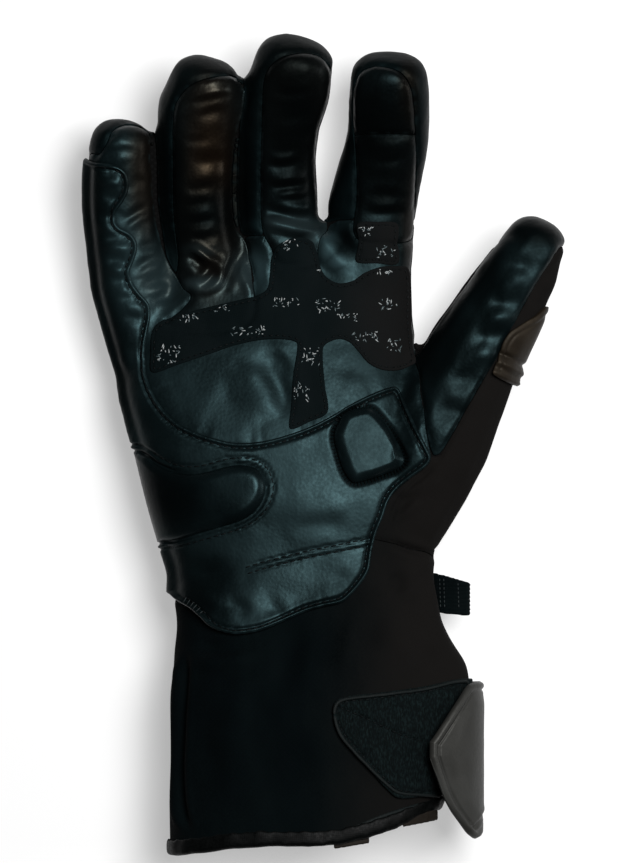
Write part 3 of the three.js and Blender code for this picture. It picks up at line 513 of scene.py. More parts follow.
GRIP_EDGE = [
    (152, 332), (160, 322), (178, 315), (205, 308), (235, 301), (256, 296), (267, 289), (270, 276),
    (271, 260), (276, 247), (287, 240), (300, 238), (311, 242), (317, 252), (320, 265), (326, 276),
    (338, 283), (352, 281), (364, 273), (380, 267), (398, 266), (408, 268), (411, 285), (411, 320),
    (413, 345), (415, 362), (402, 370), (384, 371), (368, 364), (358, 352), (348, 342), (337, 340),
    (325, 346), (323, 356), (325, 385), (328, 412), (310, 422), (290, 429), (291, 405), (293, 375),
    (297, 350), (294, 342), (270, 340), (240, 345), (210, 355), (180, 365), (153, 373), (151, 352),
]
INDEX_GRIP_EDGE = [
    (357, 224), (358, 243), (356, 262), (377, 264), (398, 264), (398, 243), (397, 224), (377, 222),
]
LOOP_EDGE = [
    (332, 712), (334, 700), (345, 694), (380, 690), (420, 685), (468, 678), (500, 700), (500, 770),
    (470, 795), (425, 794), (398, 792), (385, 783), (368, 766), (350, 747), (337, 730),
]
FOLD_SEAM = [(246, 570), (262, 565), (285, 559), (310, 553), (340, 547), (371, 541)]
RING_FRONT = [
    (171, 326), (176, 262), (173, 225), (172, 190), (172, 150), (173, 120), (177, 103), (188, 90),
    (204, 82), (224, 77), (239, 79), (246, 100), (240, 125), (235, 150), (233, 190), (236, 225),
    (246, 250), (250, 322),
]
MIDDLE_FRONT = [
    (280, 264), (271, 248), (261, 228), (260, 180), (261, 130), (262, 95), (265, 76), (275, 64), (288, 57),
    (303, 54), (317, 56), (328, 64), (334, 76), (340, 100), (336, 140), (322, 165), (322, 200), (326, 228),
    (318, 246), (314, 264),
]
LITTLE_FRONT = [
    (84, 162), (98, 156), (106, 147), (110, 137), (114, 129), (124, 124), (136, 124), (147, 129),
    (152, 138), (153, 167), (157, 217), (167, 260), (180, 287), (190, 300), (150, 330), (100, 330),
    (70, 250),
]
THUMB_TIP = [
    (492, 242), (512, 205), (560, 203), (578, 222), (576, 244), (561, 248), (552, 256), (536, 250),
    (512, 240),
]
GUSSET = [
    (431, 456), (421, 462), (404, 474), (388, 485), (379, 498), (374, 512), (368, 528), (366, 541),
    (384, 541), (410, 549), (440, 557), (475, 540), (480, 470), (451, 448), (438, 457),
]
CUFF_CORNER = [(350, 541), (384, 541), (410, 549), (434, 556), (434, 576), (400, 590), (350, 600)]
GUARD_EDGE = [
    (517, 326), (508, 332), (501, 342), (497, 355), (492, 366), (489, 373), (497, 379), (511, 385),
    (524, 388), (560, 385), (575, 300), (547, 305), (531, 317),
]
INDEX_FRONT = [
    (357, 240), (356, 200), (355, 165), (352, 135), (351, 105), (353, 84), (359, 73), (374, 67), (390, 69),
    (402, 76), (410, 88), (414, 106), (416, 135), (418, 170), (417, 205), (415, 240),
]
# The pixel row of the straight seam below the index fingertip
TOUCH_LINE = 136.5

# How fast a place of painted warm highlight, painted shade or painted highlight fades with distance
BLOB_FALL, BLOB_POWER = 0.4, 1.5
# Where painted warm highlights turn the hide brown, and where painted shade darkens it and dulls its
# highlights: a pixel, its reach sideways and along, how much
PAINTED_WARM_HIGHLIGHTS = [
    (212, 172, 22, 84, 1.0), (147, 175, 13, 46, 0.8), (165, 275, 18, 22, 0.4), (236, 262, 14, 24, 0.4),
    (300, 105, 26, 45, 0.6), (408, 100, 8, 35, 0.8), (412, 220, 8, 40, 0.7),
]
# Painted shade: darker hide with dulled highlights where the light falls off
SHADE = [
    (298, 128, 36, 82, 1.0), (385, 150, 36, 78, 1.0), (205, 130, 34, 42, 0.25), (176, 190, 10, 60, 0.8),
    (160, 495, 42, 30, 0.9), (215, 500, 32, 26, 0.6), (196, 585, 52, 34, 0.7), (116, 380, 14, 80, 0.8),
    (445, 330, 34, 66, 0.8), (480, 270, 24, 56, 0.8), (540, 232, 32, 20, 1.0), (440, 405, 26, 50, 0.6),
    (505, 300, 60, 120, 0.45), (92, 240, 12, 90, 0.8), (410, 400, 22, 40, 0.5),
    (335, 592, 46, 26, 0.5), (352, 372, 40, 34, 0.4), (370, 446, 24, 34, 0.5), (208, 216, 30, 34, 1.0),
    (296, 185, 36, 26, 1.0), (385, 198, 34, 22, 1.0), (538, 248, 22, 18, 0.75), (456, 400, 30, 50, 0.75),
    (146, 200, 14, 60, 0.35), (347, 240, 12, 16, 1.0), (300, 582, 56, 22, 0.35),
]
# Painted highlights that lighten the hide to a pale grey
PAINTED_HIGHLIGHTS = [
    (296, 225, 28, 6, 0.55), (320, 238, 10, 8, 0.8), (327, 250, 6, 7, 1.0), (338, 262, 7, 5, 1.0),
    (350, 271, 8, 4, 1.0), (250, 272, 13, 15, 0.9), (202, 250, 14, 5, 0.25), (206, 284, 18, 5, 0.8),
    (160, 285, 16, 24, 0.5), (128, 270, 12, 34, 0.35),
]
# How far the hem hangs lower than straight, in pixels, from the little finger's side to the thumb's
HEM_SAG = [
    (150, 0), (229, 0), (270, 4), (309, 10), (340, 13), (368, 11), (395, 6), (415, 1), (435, -3), (470, -3),
]

# Folds and creases: width and depth in millimetres, a ridge where the depth is below zero, then its pixels
SKIN_FOLDS = [
    # little finger
    (1.6, 0.63, (120, 226), (135, 216), (152, 204)),
    (1.4, -0.49, (122, 231), (138, 220), (153, 210)),
    (2.0, 0.56, (137, 250), (150, 246), (160, 240)),
    (1.6, 0.56, (134, 274), (148, 262), (163, 256)),
    (1.5, -0.49, (136, 279), (150, 268), (166, 262)),
    (1.7, 0.63, (142, 290), (158, 280), (172, 279)),
    (1.5, -0.56, (146, 296), (160, 288), (175, 286)),
    (1.4, 0.49, (150, 304), (164, 298), (180, 296)),
    (1.6, 0.35, (128, 184), (140, 182), (153, 186)),
    (1.3, 0.42, (112, 142), (116, 134), (120, 129)),
    (1.6, 0.49, (86, 152), (104, 156), (125, 152), (145, 156)),
    # ring finger
    (1.5, 0.54, (182, 107), (205, 103), (235, 96)),
    (1.3, -0.36, (185, 102), (206, 97), (236, 91)),
    (2.2, 0.6, (195, 122), (212, 114), (230, 112)),
    (2.4, 0.6, (190, 167), (210, 163), (232, 160)),
    (1.4, 0.3, (178, 140), (195, 143), (212, 138)),
    (1.8, 0.35, (178, 187), (196, 190), (222, 184)),
    (1.8, 0.3, (175, 204), (192, 205), (214, 200)),
    (1.8, 0.4, (176, 223), (196, 224), (222, 218)),
    (1.8, 0.35, (180, 241), (198, 238), (224, 238)),
    (1.9, 1.3, (184, 252), (200, 266), (208, 274)),
    (1.7, -1.3, (183, 243), (199, 252), (216, 264), (228, 268)),
    (1.6, -0.48, (212, 266), (202, 280), (190, 291)),
    (1.8, 0.78, (220, 262), (211, 278), (196, 288)),
    (1.6, -0.6, (189, 293), (208, 288), (226, 277)),
    (1.6, 0.54, (192, 287), (206, 283), (222, 270)),
    (1.6, 1.4, (246, 246), (236, 262), (227, 282), (222, 297)),
    # middle finger
    (1.4, 0.3, (266, 92), (290, 97), (320, 92)),
    (1.8, 0.25, (270, 116), (292, 120), (318, 114)),
    (1.6, 0.45, (262, 164), (280, 167), (303, 163)),
    (1.4, -0.45, (266, 158), (284, 160), (303, 154)),
    (1.7, 0.45, (264, 188), (284, 188), (312, 183)),
    (1.4, -0.4, (266, 182), (286, 181), (312, 177)),
    (1.6, 0.35, (266, 203), (286, 201), (310, 199)),
    (1.4, -0.25, (274, 196), (290, 195), (308, 192)),
    (1.5, -0.3, (296, 211), (306, 207), (315, 202)),
    (2.0, 1.3, (256, 210), (276, 215), (300, 221), (322, 222)),
    (2.3, -1.6, (255, 216), (278, 224), (300, 229), (322, 232)),
    (1.6, 0.5, (262, 232), (285, 234), (308, 240)),
    (3.2, -2.4, (298, 228), (318, 238), (334, 256), (356, 274)),
    (2.0, 0.5, (318, 240), (333, 255), (352, 266)),
    # index finger
    (1.6, 0.3, (360, 196), (380, 194), (408, 198)),
    (1.5, -0.3, (362, 205), (384, 207), (412, 203)),
    (1.6, 0.35, (358, 212), (380, 214), (412, 211)),
    (1.6, 0.35, (362, 134), (380, 139), (400, 139), (414, 134)),
    (1.4, 0.2, (360, 160), (385, 163), (412, 158)),
    # palm
    (1.6, 0.9, (246, 256), (254, 280), (264, 296)),
    (1.5, -0.7, (238, 262), (246, 282), (256, 298)),
    (1.4, -0.5, (262, 262), (268, 276), (270, 290)),
    (3.2, 0.9, (256, 350), (270, 366), (282, 390), (289, 424)),
    (5.0, -0.7, (238, 354), (252, 384), (266, 424)),
    (2.2, 0.5, (266, 352), (281, 362), (291, 378)),
    (4.0, 0.4, (160, 380), (188, 390), (215, 386)),
    (3.0, 0.4, (332, 376), (352, 370), (376, 382)),
    # thumb
    (3.0, 0.7, (430, 350), (421, 372), (418, 398), (423, 425)),
    (2.2, 0.5, (474, 268), (458, 292), (442, 318), (428, 342)),
    (3.0, 0.9, (498, 258), (514, 268), (536, 268)),
    (3.2, -0.7, (503, 276), (517, 276), (532, 280)),
    (3.2, 1.0, (484, 296), (500, 304), (524, 298)),
    (2.6, -0.5, (486, 314), (500, 318), (516, 314)),
    (3.4, 0.9, (470, 330), (486, 338), (508, 330)),
    (3.0, -0.5, (466, 350), (480, 356), (498, 350)),
    (3.6, 0.8, (446, 372), (464, 380), (486, 374)),
    (3.6, 0.6, (432, 404), (450, 412), (468, 404)),
    (3.0, -0.6, (524, 268), (506, 300), (490, 332), (474, 362)),
    (2.6, -0.9, (558, 240), (550, 256), (536, 268)),
    (2.0, 0.5, (500, 238), (514, 236), (526, 244)),
    # thumb's textile and gusset
    (1.8, 0.8, (560, 262), (546, 278), (534, 296), (530, 312)),
    (2.4, 0.8, (402, 492), (420, 478), (434, 466)),
    (2.4, -0.8, (398, 500), (418, 484), (434, 472)),
    (2.0, 0.9, (388, 520), (404, 502), (420, 490)),
    (1.8, -0.7, (392, 524), (408, 508), (424, 496)),
    (3.0, 0.7, (436, 520), (452, 490), (464, 462)),
    (0.7, 0.7, (437, 461), (425, 474), (410, 486), (399, 498), (393, 512), (389, 526), (385, 540)),
    (2.6, 0.8, (546, 282), (540, 300), (530, 314)),
    (1.4, 1.0, (386, 537), (398, 545), (416, 551), (434, 557)),
    # cuff
    (3.5, 1.4, (392, 570), (398, 580), (402, 594)),
    (3.5, -1.0, (404, 560), (410, 580), (416, 604)),
    (3.0, 1.0, (418, 566), (422, 584), (428, 600)),
    (3.5, 0.9, (376, 600), (372, 625), (366, 655)),
    (4.0, -0.9, (352, 612), (348, 640), (340, 680)),
    (4.0, 0.8, (332, 618), (330, 645), (322, 676)),
    (4.0, -0.8, (318, 620), (312, 650), (300, 690)),
    (4.5, 0.7, (296, 628), (288, 660), (272, 700)),
    (3.5, 0.8, (400, 612), (420, 630), (436, 660)),
    (3.5, -0.7, (388, 622), (404, 644), (416, 668)),
    (3.0, 1.2, (190, 640), (225, 648), (262, 638)),
    (3.0, -1.0, (186, 656), (220, 660), (260, 650)),
    (4.0, 0.6, (210, 700), (206, 740), (214, 780)),
    (5.0, -0.5, (240, 680), (236, 730), (244, 790)),
    (4.0, 0.5, (300, 740), (306, 780), (318, 815)),
    (1.4, 1.5, (186, 648), (185, 680), (182, 720), (180, 770), (185, 812), (196, 832)),
    (1.5, -1.0, (179, 650), (178, 690), (175, 730), (174, 780), (178, 815), (188, 830)),
]
HEEL_FOLDS = [
    (1.4, 0.5, (104, 172), (112, 174), (122, 172)),
    (1.8, 0.6, (100, 216), (108, 217), (117, 215)),
    (1.5, -0.5, (102, 184), (112, 183), (124, 186)),
    (1.6, 0.6, (104, 198), (112, 197), (122, 200)),
    (1.8, 0.7, (104, 240), (116, 238), (134, 242)),
    (1.6, -0.6, (104, 248), (118, 247), (134, 250)),
    (1.8, 0.7, (106, 262), (118, 260), (130, 263)),
    (1.6, -0.6, (108, 271), (118, 270), (130, 274)),
    (1.8, 0.6, (112, 284), (124, 281), (136, 288)),
    (1.6, 0.5, (118, 300), (130, 298), (144, 305)),
    (1.8, 0.5, (122, 318), (134, 318), (146, 322)),
    (3.0, 0.6, (122, 340), (136, 356), (142, 380)),
    (2.4, 0.4, (396, 398), (400, 420), (410, 440)),
    (2.0, 0.5, (404, 408), (408, 428), (418, 446)),
    (2.2, -0.4, (398, 404), (404, 424), (412, 444)),
    (4.5, 0.5, (250, 600), (290, 600), (330, 590)),
    (3.0, 0.4, (286, 530), (320, 524), (352, 524)),
    (3.5, 0.7, (186, 566), (210, 574), (240, 574)),
    (2.2, 0.6, (196, 600), (205, 606), (214, 618)),
    (2.4, 0.5, (226, 598), (240, 606), (252, 618)),
    (2.6, 0.4, (262, 604), (276, 610), (288, 616)),
    (2.4, 0.3, (330, 572), (344, 580), (352, 592)),
]


# The fingers' front panels, the thumb's tip and the gusset have the photograph's own seams.
PHOTO_SEAMS = (
    ("finger_front_ring", RING_FRONT),
    ("finger_front_middle", MIDDLE_FRONT),
    ("finger_front_index", INDEX_FRONT),
    ("palm_panel", LITTLE_FRONT), ("thumb_side", GUSSET), ("thumb_front", THUMB_TIP), ("cuff", CUFF_CORNER),
)
# Such a panel faces up at least this much, and the thumb's tip reaches down to this height.
FACING_STEEP, FACING_LEAST = 5, 0.08
THUMB_TIP_Z = 9


def wall_fields():
    """For each panel, how far each point is outside it: below zero on the panel itself."""
    far = {}
    for name in WALLS:
        p, t = node_arrays(name)
        low, high = p.min(0) - FIELD_REACH, p.max(0) + FIELD_REACH
        close = np.flatnonzero(((base > low) & (base < high)).all(1))
        far[name] = np.full(len(base), FIELD_REACH)
        far[name][close] = closest(tree_of(p, t), base[close], FIELD_REACH)[1]

    def outside(names):
        own = np.min([far[name] for name in names], axis=0)
        others = np.min([far[name] for name in WALLS if name not in names], axis=0)
        return near.smoothed(own - others, FIELD_ROUNDS)

    found = {name: outside([name]) for name in WALLS}

    def give(name, part):
        """Hands a part of the surface to one panel, and takes it from the others."""
        for other in WALLS:
            own = other == name
            found[other] = np.minimum(found[other], part) if own else np.maximum(found[other], -part)

    facing = FACING_STEEP * (FACING_LEAST - normal[:, 2])
    above = base[:, 1] - row_y(TOUCH_LINE)
    for name, rows in PHOTO_SEAMS:
        limit = THUMB_TIP_Z - base[:, 2] if name == "thumb_front" else facing
        part = near.smoothed(np.maximum(Line(rows, True).field(base), limit), 2)
        if name.startswith("finger_front"):
            # What the solid calls the front, outside the photograph's outline, is the back's side wall.
            back = name.replace("front", "back")
            own = outside([name, back] + (["touch_tip"] if name.endswith("index") else []))
            found[back] = own
            found[name] = np.full(len(base), FIELD_REACH)
        if name == "finger_front_index":
            found["touch_tip"] = np.full(len(base), FIELD_REACH)
            give("touch_tip", np.maximum(part, -above))
            part = np.maximum(part, above)
        give(name, part)
    return found


fields = wall_fields()
seam = np.min([np.abs(f) for f in fields.values()], axis=0)


# Pieces

# Nothing lies below the ground.
LOWEST_Z = 0.02
# A distance from the edge at which leather shows no wear
UNWORN = 4.0


def add_piece(name, points, triangles, material, nodes=(), extra=None):
    mesh = bpy.data.meshes.new(name)
    points = np.column_stack([points[:, :2], np.maximum(points[:, 2], LOWEST_Z)])
    fill_mesh(mesh, points * MM, triangles)
    mesh.polygons.foreach_set("use_smooth", np.ones(len(triangles), bool))
    mesh.materials.append(material)
    if extra is not None:
        for key, values in extra.items():
            layer = mesh.attributes.new(key, "FLOAT", "POINT")
            layer.data.foreach_set("value", values.astype(np.float32))
    mesh.update()
    piece = linked(name, mesh)
    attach(piece, "root")
    if nodes:
        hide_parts(*nodes)
    return piece


class Look:
    """A material under construction: its shader, and short ways to add and link nodes."""

    def __init__(self, name, **sockets):
        self.made = bpy.data.materials.new(name)
        self.made.use_nodes = True
        self.tree = self.made.node_tree
        self.shader = self.tree.nodes["Principled BSDF"]
        for socket, value in sockets.items():
            self.shader.inputs[socket.replace("_", " ")].default_value = value
        self.place = self.tree.nodes.new("ShaderNodeTexCoord").outputs["Object"]

    def add(self, kind, values=(), **settings):
        node = self.tree.nodes.new("ShaderNode" + kind)
        for key, value in settings.items():
            setattr(node, key, value)
        for key, value in dict(values).items():
            if isinstance(value, bpy.types.NodeSocket):
                self.tree.links.new(value, node.inputs[key])
            else:
                node.inputs[key].default_value = value
        return node

    def noise(self, per_mm, detail=2.0, stretch=(1, 1, 1), turn=0.0):
        place = self.place
        if stretch != (1, 1, 1) or turn:
            place = self.add("Mapping", {0: place, "Scale": stretch, "Rotation": (0, 0, turn)}).outputs[0]
        return self.add("TexNoise", {"Vector": place, "Scale": per_mm / MM, "Detail": detail}).outputs["Fac"]

    def cells(self, per_mm):
        values = {"Vector": self.place, "Scale": per_mm / MM, "Smoothness": 0.6}
        return self.add("TexVoronoi", values, feature="SMOOTH_F1").outputs["Distance"]

    def waves(self, per_mm, direction, turn=0.0, distortion=0.0):
        place = self.add("Mapping", {0: self.place, "Rotation": (0, 0, turn)}).outputs[0]
        values = {"Vector": place, "Scale": per_mm / MM, "Distortion": distortion}
        values |= {"Detail": 1.0, "Detail Scale": 2.0}
        return self.add("TexWave", values, bands_direction=direction).outputs["Fac"]

    def math(self, kind, a, b):
        return self.add("Math", {0: a, 1: b}, operation=kind).outputs[0]

    def ramp(self, value, low, high, to_low=0.0, to_high=1.0):
        values = {0: value, 1: low, 2: high, 3: to_low, 4: to_high}
        return self.add("MapRange", values, interpolation_type="SMOOTHSTEP").outputs[0]

    def blend(self, value, one, two):
        node = self.add("Mix", {0: value}, data_type="RGBA")
        for place, color in ((6, one), (7, two)):
            if isinstance(color, bpy.types.NodeSocket):
                self.tree.links.new(color, node.inputs[place])
            else:
                node.inputs[place].default_value = (*color, 1)
        return node.outputs[2]

    def value(self, name):
        return self.add("Attribute", attribute_name=name).outputs["Fac"]

    def finish(self, color=None, rough=None, bumps=()):
        link = self.tree.links.new
        if color is not None:
            link(color, self.shader.inputs["Base Color"])
        if rough is not None:
            link(rough, self.shader.inputs["Roughness"])
        below = None
        for height, strength, depth in bumps:
            values = {"Height": height, "Strength": strength, "Distance": depth * MM}
            if below is not None:
                values["Normal"] = below
            below = self.add("Bump", values).outputs[0]
        if below is not None:
            link(below, self.shader.inputs["Normal"])
        return self.made


def leather_look(name, dark, light, tint, rough=(0.33, 0.5), gloss=0.1, grain=1.0):
    """Smooth hide: pebbled grain, fine creases, cloudy dye, painted warm highlights, painted shade, painted
    highlights and worn edges.
    """
    look = Look(name, Specular_IOR_Level=gloss)
    cloud = look.noise(0.045, 3)
    fine = look.noise(0.9, 4)
    painted_warm_light = look.value("painted_warm_light")
    color = look.blend(look.ramp(cloud, 0.35, 0.7), dark, light)
    # Painted warm highlights turn the hide browner
    color = look.blend(painted_warm_light, color, (1.3 * light[0], 0.75 * light[0], 0.45 * light[0]))
    # Painted shade darkens the hide
    color = look.blend(look.value("shade"), color, tuple(0.4 * v for v in dark))
    # Painted highlights lighten the hide
    color = look.blend(look.value("light"), color, tuple(5 * v for v in light))
    worn = look.ramp(look.value("edge"), 1.6, 0.2)
    worn = look.math("MULTIPLY", worn, look.ramp(look.noise(0.25, 3), 0.42, 0.75))
    color = look.blend(look.math("MULTIPLY", worn, 0.4), color, tuple(3 * v for v in light))
    # The reflections turn brown under the painted warm highlights and go nearly dark under the painted shade
    hue = look.blend(look.value("shade"), look.blend(painted_warm_light, tint, BROWN), (0.05, 0.07, 0.07))
    look.tree.links.new(hue, look.shader.inputs["Specular Tint"])
    mixed = look.math("ADD", look.math("MULTIPLY", cloud, 0.65), look.math("MULTIPLY", fine, 0.35))
    rough_now = look.ramp(mixed, 0.35, 0.65, *rough)
    pebbles = look.cells(0.75)
    wrinkles = look.noise(0.2, 4, (1, 0.4, 1), 0.3)
    bumps = [(wrinkles, 0.22, 0.5), (fine, 0.16, 0.12), (pebbles, 0.35 * grain, 0.1)]
    return look.finish(color, rough_now, bumps)


def cloth_look(
    name, dark, light, weave=1.6, turn=0.78, rough=0.85, gloss=0.12, threads_show=0.3, painted_warm_color=None
):
    """Stretch textile: a fine diagonal weave, lint and a slightly uneven dye, with painted warm light where a
    warm colour is given.
    """
    look = Look(name, Specular_IOR_Level=gloss, Sheen_Weight=0.003, Sheen_Roughness=0.5)
    one = look.waves(weave * 0.16, "X", turn, 0.6)
    two = look.waves(weave * 0.16, "Y", turn, 0.6)
    threads = look.math("MULTIPLY", one, two)
    cloud = look.noise(0.05, 4, (1, 0.5, 1))
    lint = look.noise(1.1, 4)
    mixed = look.math("ADD", look.math("MULTIPLY", cloud, 0.6), look.math("MULTIPLY", lint, 0.4))
    color = look.blend(look.ramp(mixed, 0.35, 0.68), dark, light)
    # Painted warm light: lighter and browner towards one side
    if painted_warm_color is not None:
        share = look.ramp(look.math("ADD", look.value("painted_warm_light"), look.math("MULTIPLY", mixed, 0.7)), 0.35, 1.25)
        color = look.blend(share, color, painted_warm_color)
    color = look.blend(look.math("MULTIPLY", threads, threads_show), color, tuple(2.2 * v for v in light))
    rough_now = look.ramp(lint, 0.3, 0.7, rough - 0.08, min(rough + 0.08, 1.0))
    bumps = [(look.noise(0.12, 3), 0.3, 0.8), (threads, 1.2 * threads_show, 0.14), (lint, 0.3, 0.12)]
    return look.finish(color, rough_now, bumps)


def fuzzy_look(name, dark, light):
    """Loop fastener: a pile of short fibres brushed along the hand."""
    look = Look(name, Specular_IOR_Level=0.03, Sheen_Weight=0.004, Sheen_Roughness=0.5)
    fibres = look.noise(2.0, 5, (1, 0.3, 1), 0.05)
    tufts = look.noise(0.35, 3)
    color = look.blend(look.ramp(fibres, 0.42, 0.66), dark, light)
    color = look.blend(look.ramp(tufts, 0.4, 0.7, 0.0, 0.5), color, dark)
    rough_now = look.ramp(fibres, 0.3, 0.7, 0.8, 1.0)
    return look.finish(color, rough_now, [(fibres, 0.8, 0.4), (tufts, 0.4, 0.6)])


def simple_material(name, color, roughness):
    return Look(name, Base_Color=(*color, 1), Roughness=roughness).made


TEAL, BROWN, GREY = (0.5, 0.92, 1.0), (1.0, 0.72, 0.45), (0.85, 0.95, 1.0)
leather = leather_look("leather", (0.0010, 0.0019, 0.0021), (0.0018, 0.0034, 0.0038), TEAL)
finger_leather = leather_look(
    "finger_leather", (0.0010, 0.0015, 0.0016), (0.0015, 0.0024, 0.0026), TEAL, (0.3, 0.46), 0.1,
)
back_leather = leather_look(
    "back_leather", (0.0006, 0.0013, 0.0015), (0.0011, 0.0024, 0.0027), TEAL, (0.4, 0.55), 0.05,
)
pad_leather = leather_look(
    "pad_leather", (0.0009, 0.0017, 0.0019), (0.0016, 0.0031, 0.0035), TEAL, (0.3, 0.42), 0.1, 0.6,
)
tab_leather = leather_look(
    "tab_leather", (0.0085, 0.0085, 0.0078), (0.0125, 0.0128, 0.012), (1, 1, 0.95), (0.42, 0.55), 0.1,
)
guard_leather = leather_look(
    "guard_leather", (0.0040, 0.0030, 0.0020), (0.0072, 0.0054, 0.0036), (1, 0.9, 0.75), (0.45, 0.6), 0.06,
)
thread = leather_look("thread", (0.0004, 0.0006, 0.0006), (0.0010, 0.0014, 0.0015), GREY, (0.5, 0.6), 0.05)
worn_thread = leather_look(
    "worn_thread", (0.0030, 0.0042, 0.0044), (0.0065, 0.0085, 0.0085), GREY, (0.5, 0.6), 0.1,
)
softshell = cloth_look(
    "softshell", (0.0003, 0.0008, 0.0010), (0.0007, 0.0015, 0.0017), gloss=0.01, threads_show=0.06,
    painted_warm_color=(0.0030, 0.0027, 0.0025),
)
grip = cloth_look(
    "grip", (0.0005, 0.0014, 0.0016), (0.0013, 0.0024, 0.0027), 2.6, 0.2, 0.85, 0.02, 0.1,
    painted_warm_color=(0.0032, 0.0029, 0.0028),
)
loop_cloth = fuzzy_look("loop", (0.0004, 0.0010, 0.0011), (0.0024, 0.0046, 0.0048))
loop_border = cloth_look(
    "loop_border", (0.0010, 0.0020, 0.0021), (0.0034, 0.0044, 0.0044), 2.6, 0.1, 0.7, 0.05,
)
webbing = cloth_look(
    "webbing", (0.0003, 0.0009, 0.0011), (0.0008, 0.0018, 0.0020), 2.2, 0.0, 0.75, 0.02, 0.12,
)
binding_cloth = cloth_look(
    "binding", (0.0002, 0.0003, 0.0003), (0.0006, 0.0008, 0.0008), 2.6, 0.1, 0.5, 0.03, 0.1,
)
tab_cloth = cloth_look(
    "hem_tabs", (0.0035, 0.0026, 0.0018), (0.0060, 0.0046, 0.0034), 2.6, 0.1, 0.7, 0.05, 0.12,
)
print_bright = simple_material("print_bright", (0.11, 0.12, 0.12), 0.35)
print_dim = simple_material("print_dim", (0.018, 0.028, 0.03), 0.45)
lining_cloth = cloth_look("lining", (0.0010, 0.0010, 0.0010), (0.0020, 0.0020, 0.0020), 1.2, gloss=0.01)

# A panel's edge, rolled over and down: steps out and up from the edge
ROLLED = [(0.2, -0.08), (0.35, -0.3), (0.4, -0.7), (0.35, -1.3), (0.1, -1.9)]
SEWN = [(0.22, -0.1), (0.34, -0.32), (0.36, -0.8), (0.28, -1.5), (0.0, -2.1)]

lines = {
    name: Line(rows, True)
    for name, rows in (
        ("heel", HEEL_EDGE), ("slider", SLIDER_EDGE), ("pad_groove", THUMB_PAD_GROOVE), ("guard", GUARD_EDGE),
        ("grip", GRIP_EDGE), ("index_grip", INDEX_GRIP_EDGE), ("loop", LOOP_EDGE),
    )
}
fold_seam = Line(FOLD_SEAM)
# How far the two rows of stitches run from the fold's seam
FOLD_STITCH = 1.2


def bump(d, middle, width):
    return np.exp(-(((d - middle) / width) ** 2))


# A fold reaches this many widths, fades over this share of its length or at most so far, and has low banks.
FOLD_REACH, FOLD_FADE, FOLD_FADE_MOST, FOLD_BANK = 3.4, 0.4, 9, 0.35


def folds(rows, points, up):
    """The height that creases take away and ridges add."""
    out = np.zeros(len(points))
    for width, depth, *pixels in rows:
        line = Line(pixels)
        close, d, along, _ = line.near(points, FOLD_REACH * width)
        if not len(close):
            continue
        reach = min(FOLD_FADE * line.length, FOLD_FADE_MOST)
        fade = smooth_step(0, reach, along) * smooth_step(0, reach, line.length - along)
        shape = bump(d, 0, width) - FOLD_BANK * bump(d, 2 * width, width)
        out[close] -= depth * shape * fade
    return out * smooth_step(0.05, 0.4, up)


def gathers(line, points, pitch, depth, reach, seed):
    """Small puckers that run away from a sewn line."""
    out = np.zeros(len(points))
    close, d, along, _ = line.near(points, 3 * reach)
    if len(close):
        q = np.column_stack([along / pitch, np.full(len(along), 0.5), np.full(len(along), seed)])
        out[close] = depth * noise(q, 1.0, seed) * np.exp(-d / reach)
    return out


# How the upper side ends where the hand turns down
UPPER_LEAST, UPPER_STEEP = 0.3, 4


def upper(line, points, up, low=SEAM_Z):
    """A line's field, kept to what faces up above a height."""
    return np.maximum.reduce([line.field(points), low - points[:, 2], UPPER_LEAST - UPPER_STEEP * up])


# The valley at a seam between panels, the puckers along the heel panel's seam, and the skin's dip below it
SEAM_DEEP, SEAM_WIDE = 0.75, 1.3
GATHER_PITCH, GATHER_SEED = 2.1, 3
HEEL_DIP = 0.9


def skin_height(points, up, seam_now, cloth):
    height = folds(SKIN_FOLDS, points, up)
    height -= SEAM_DEEP * bump(seam_now, 0, SEAM_WIDE)
    height += gathers(lines["heel"], points, GATHER_PITCH, 0.28, 4.0, GATHER_SEED) * smooth_step(0.0, 0.3, up)
    height += 0.16 * noise(points, 2.2, 5) * np.exp(-seam_now / 2.5)
    if cloth:
        height += 0.5 * noise(points, 22, 7) + 0.22 * noise(points, 8, 8)
    else:
        height += 0.3 * noise(points, 12, 9) + 0.14 * noise(points, 5, 10)
    under = smooth_step(0.6, 2.5, -upper(lines["heel"], points, up))
    return height * (1 - under) - HEEL_DIP * under


# The heel panel: its thickness, the pixel rows over which its lower edge comes free, the columns over which
# that edge lifts, how far in from the edge, and its least and further lift
HEEL_THICK = 1.5
HEEL_FREE_ROWS, HEEL_LIFT_COLUMNS, HEEL_FREE_REACH = (560, 606), (300, 200), 13
HEEL_LIFT, HEEL_LIFT_MORE = 0.4, 1.7


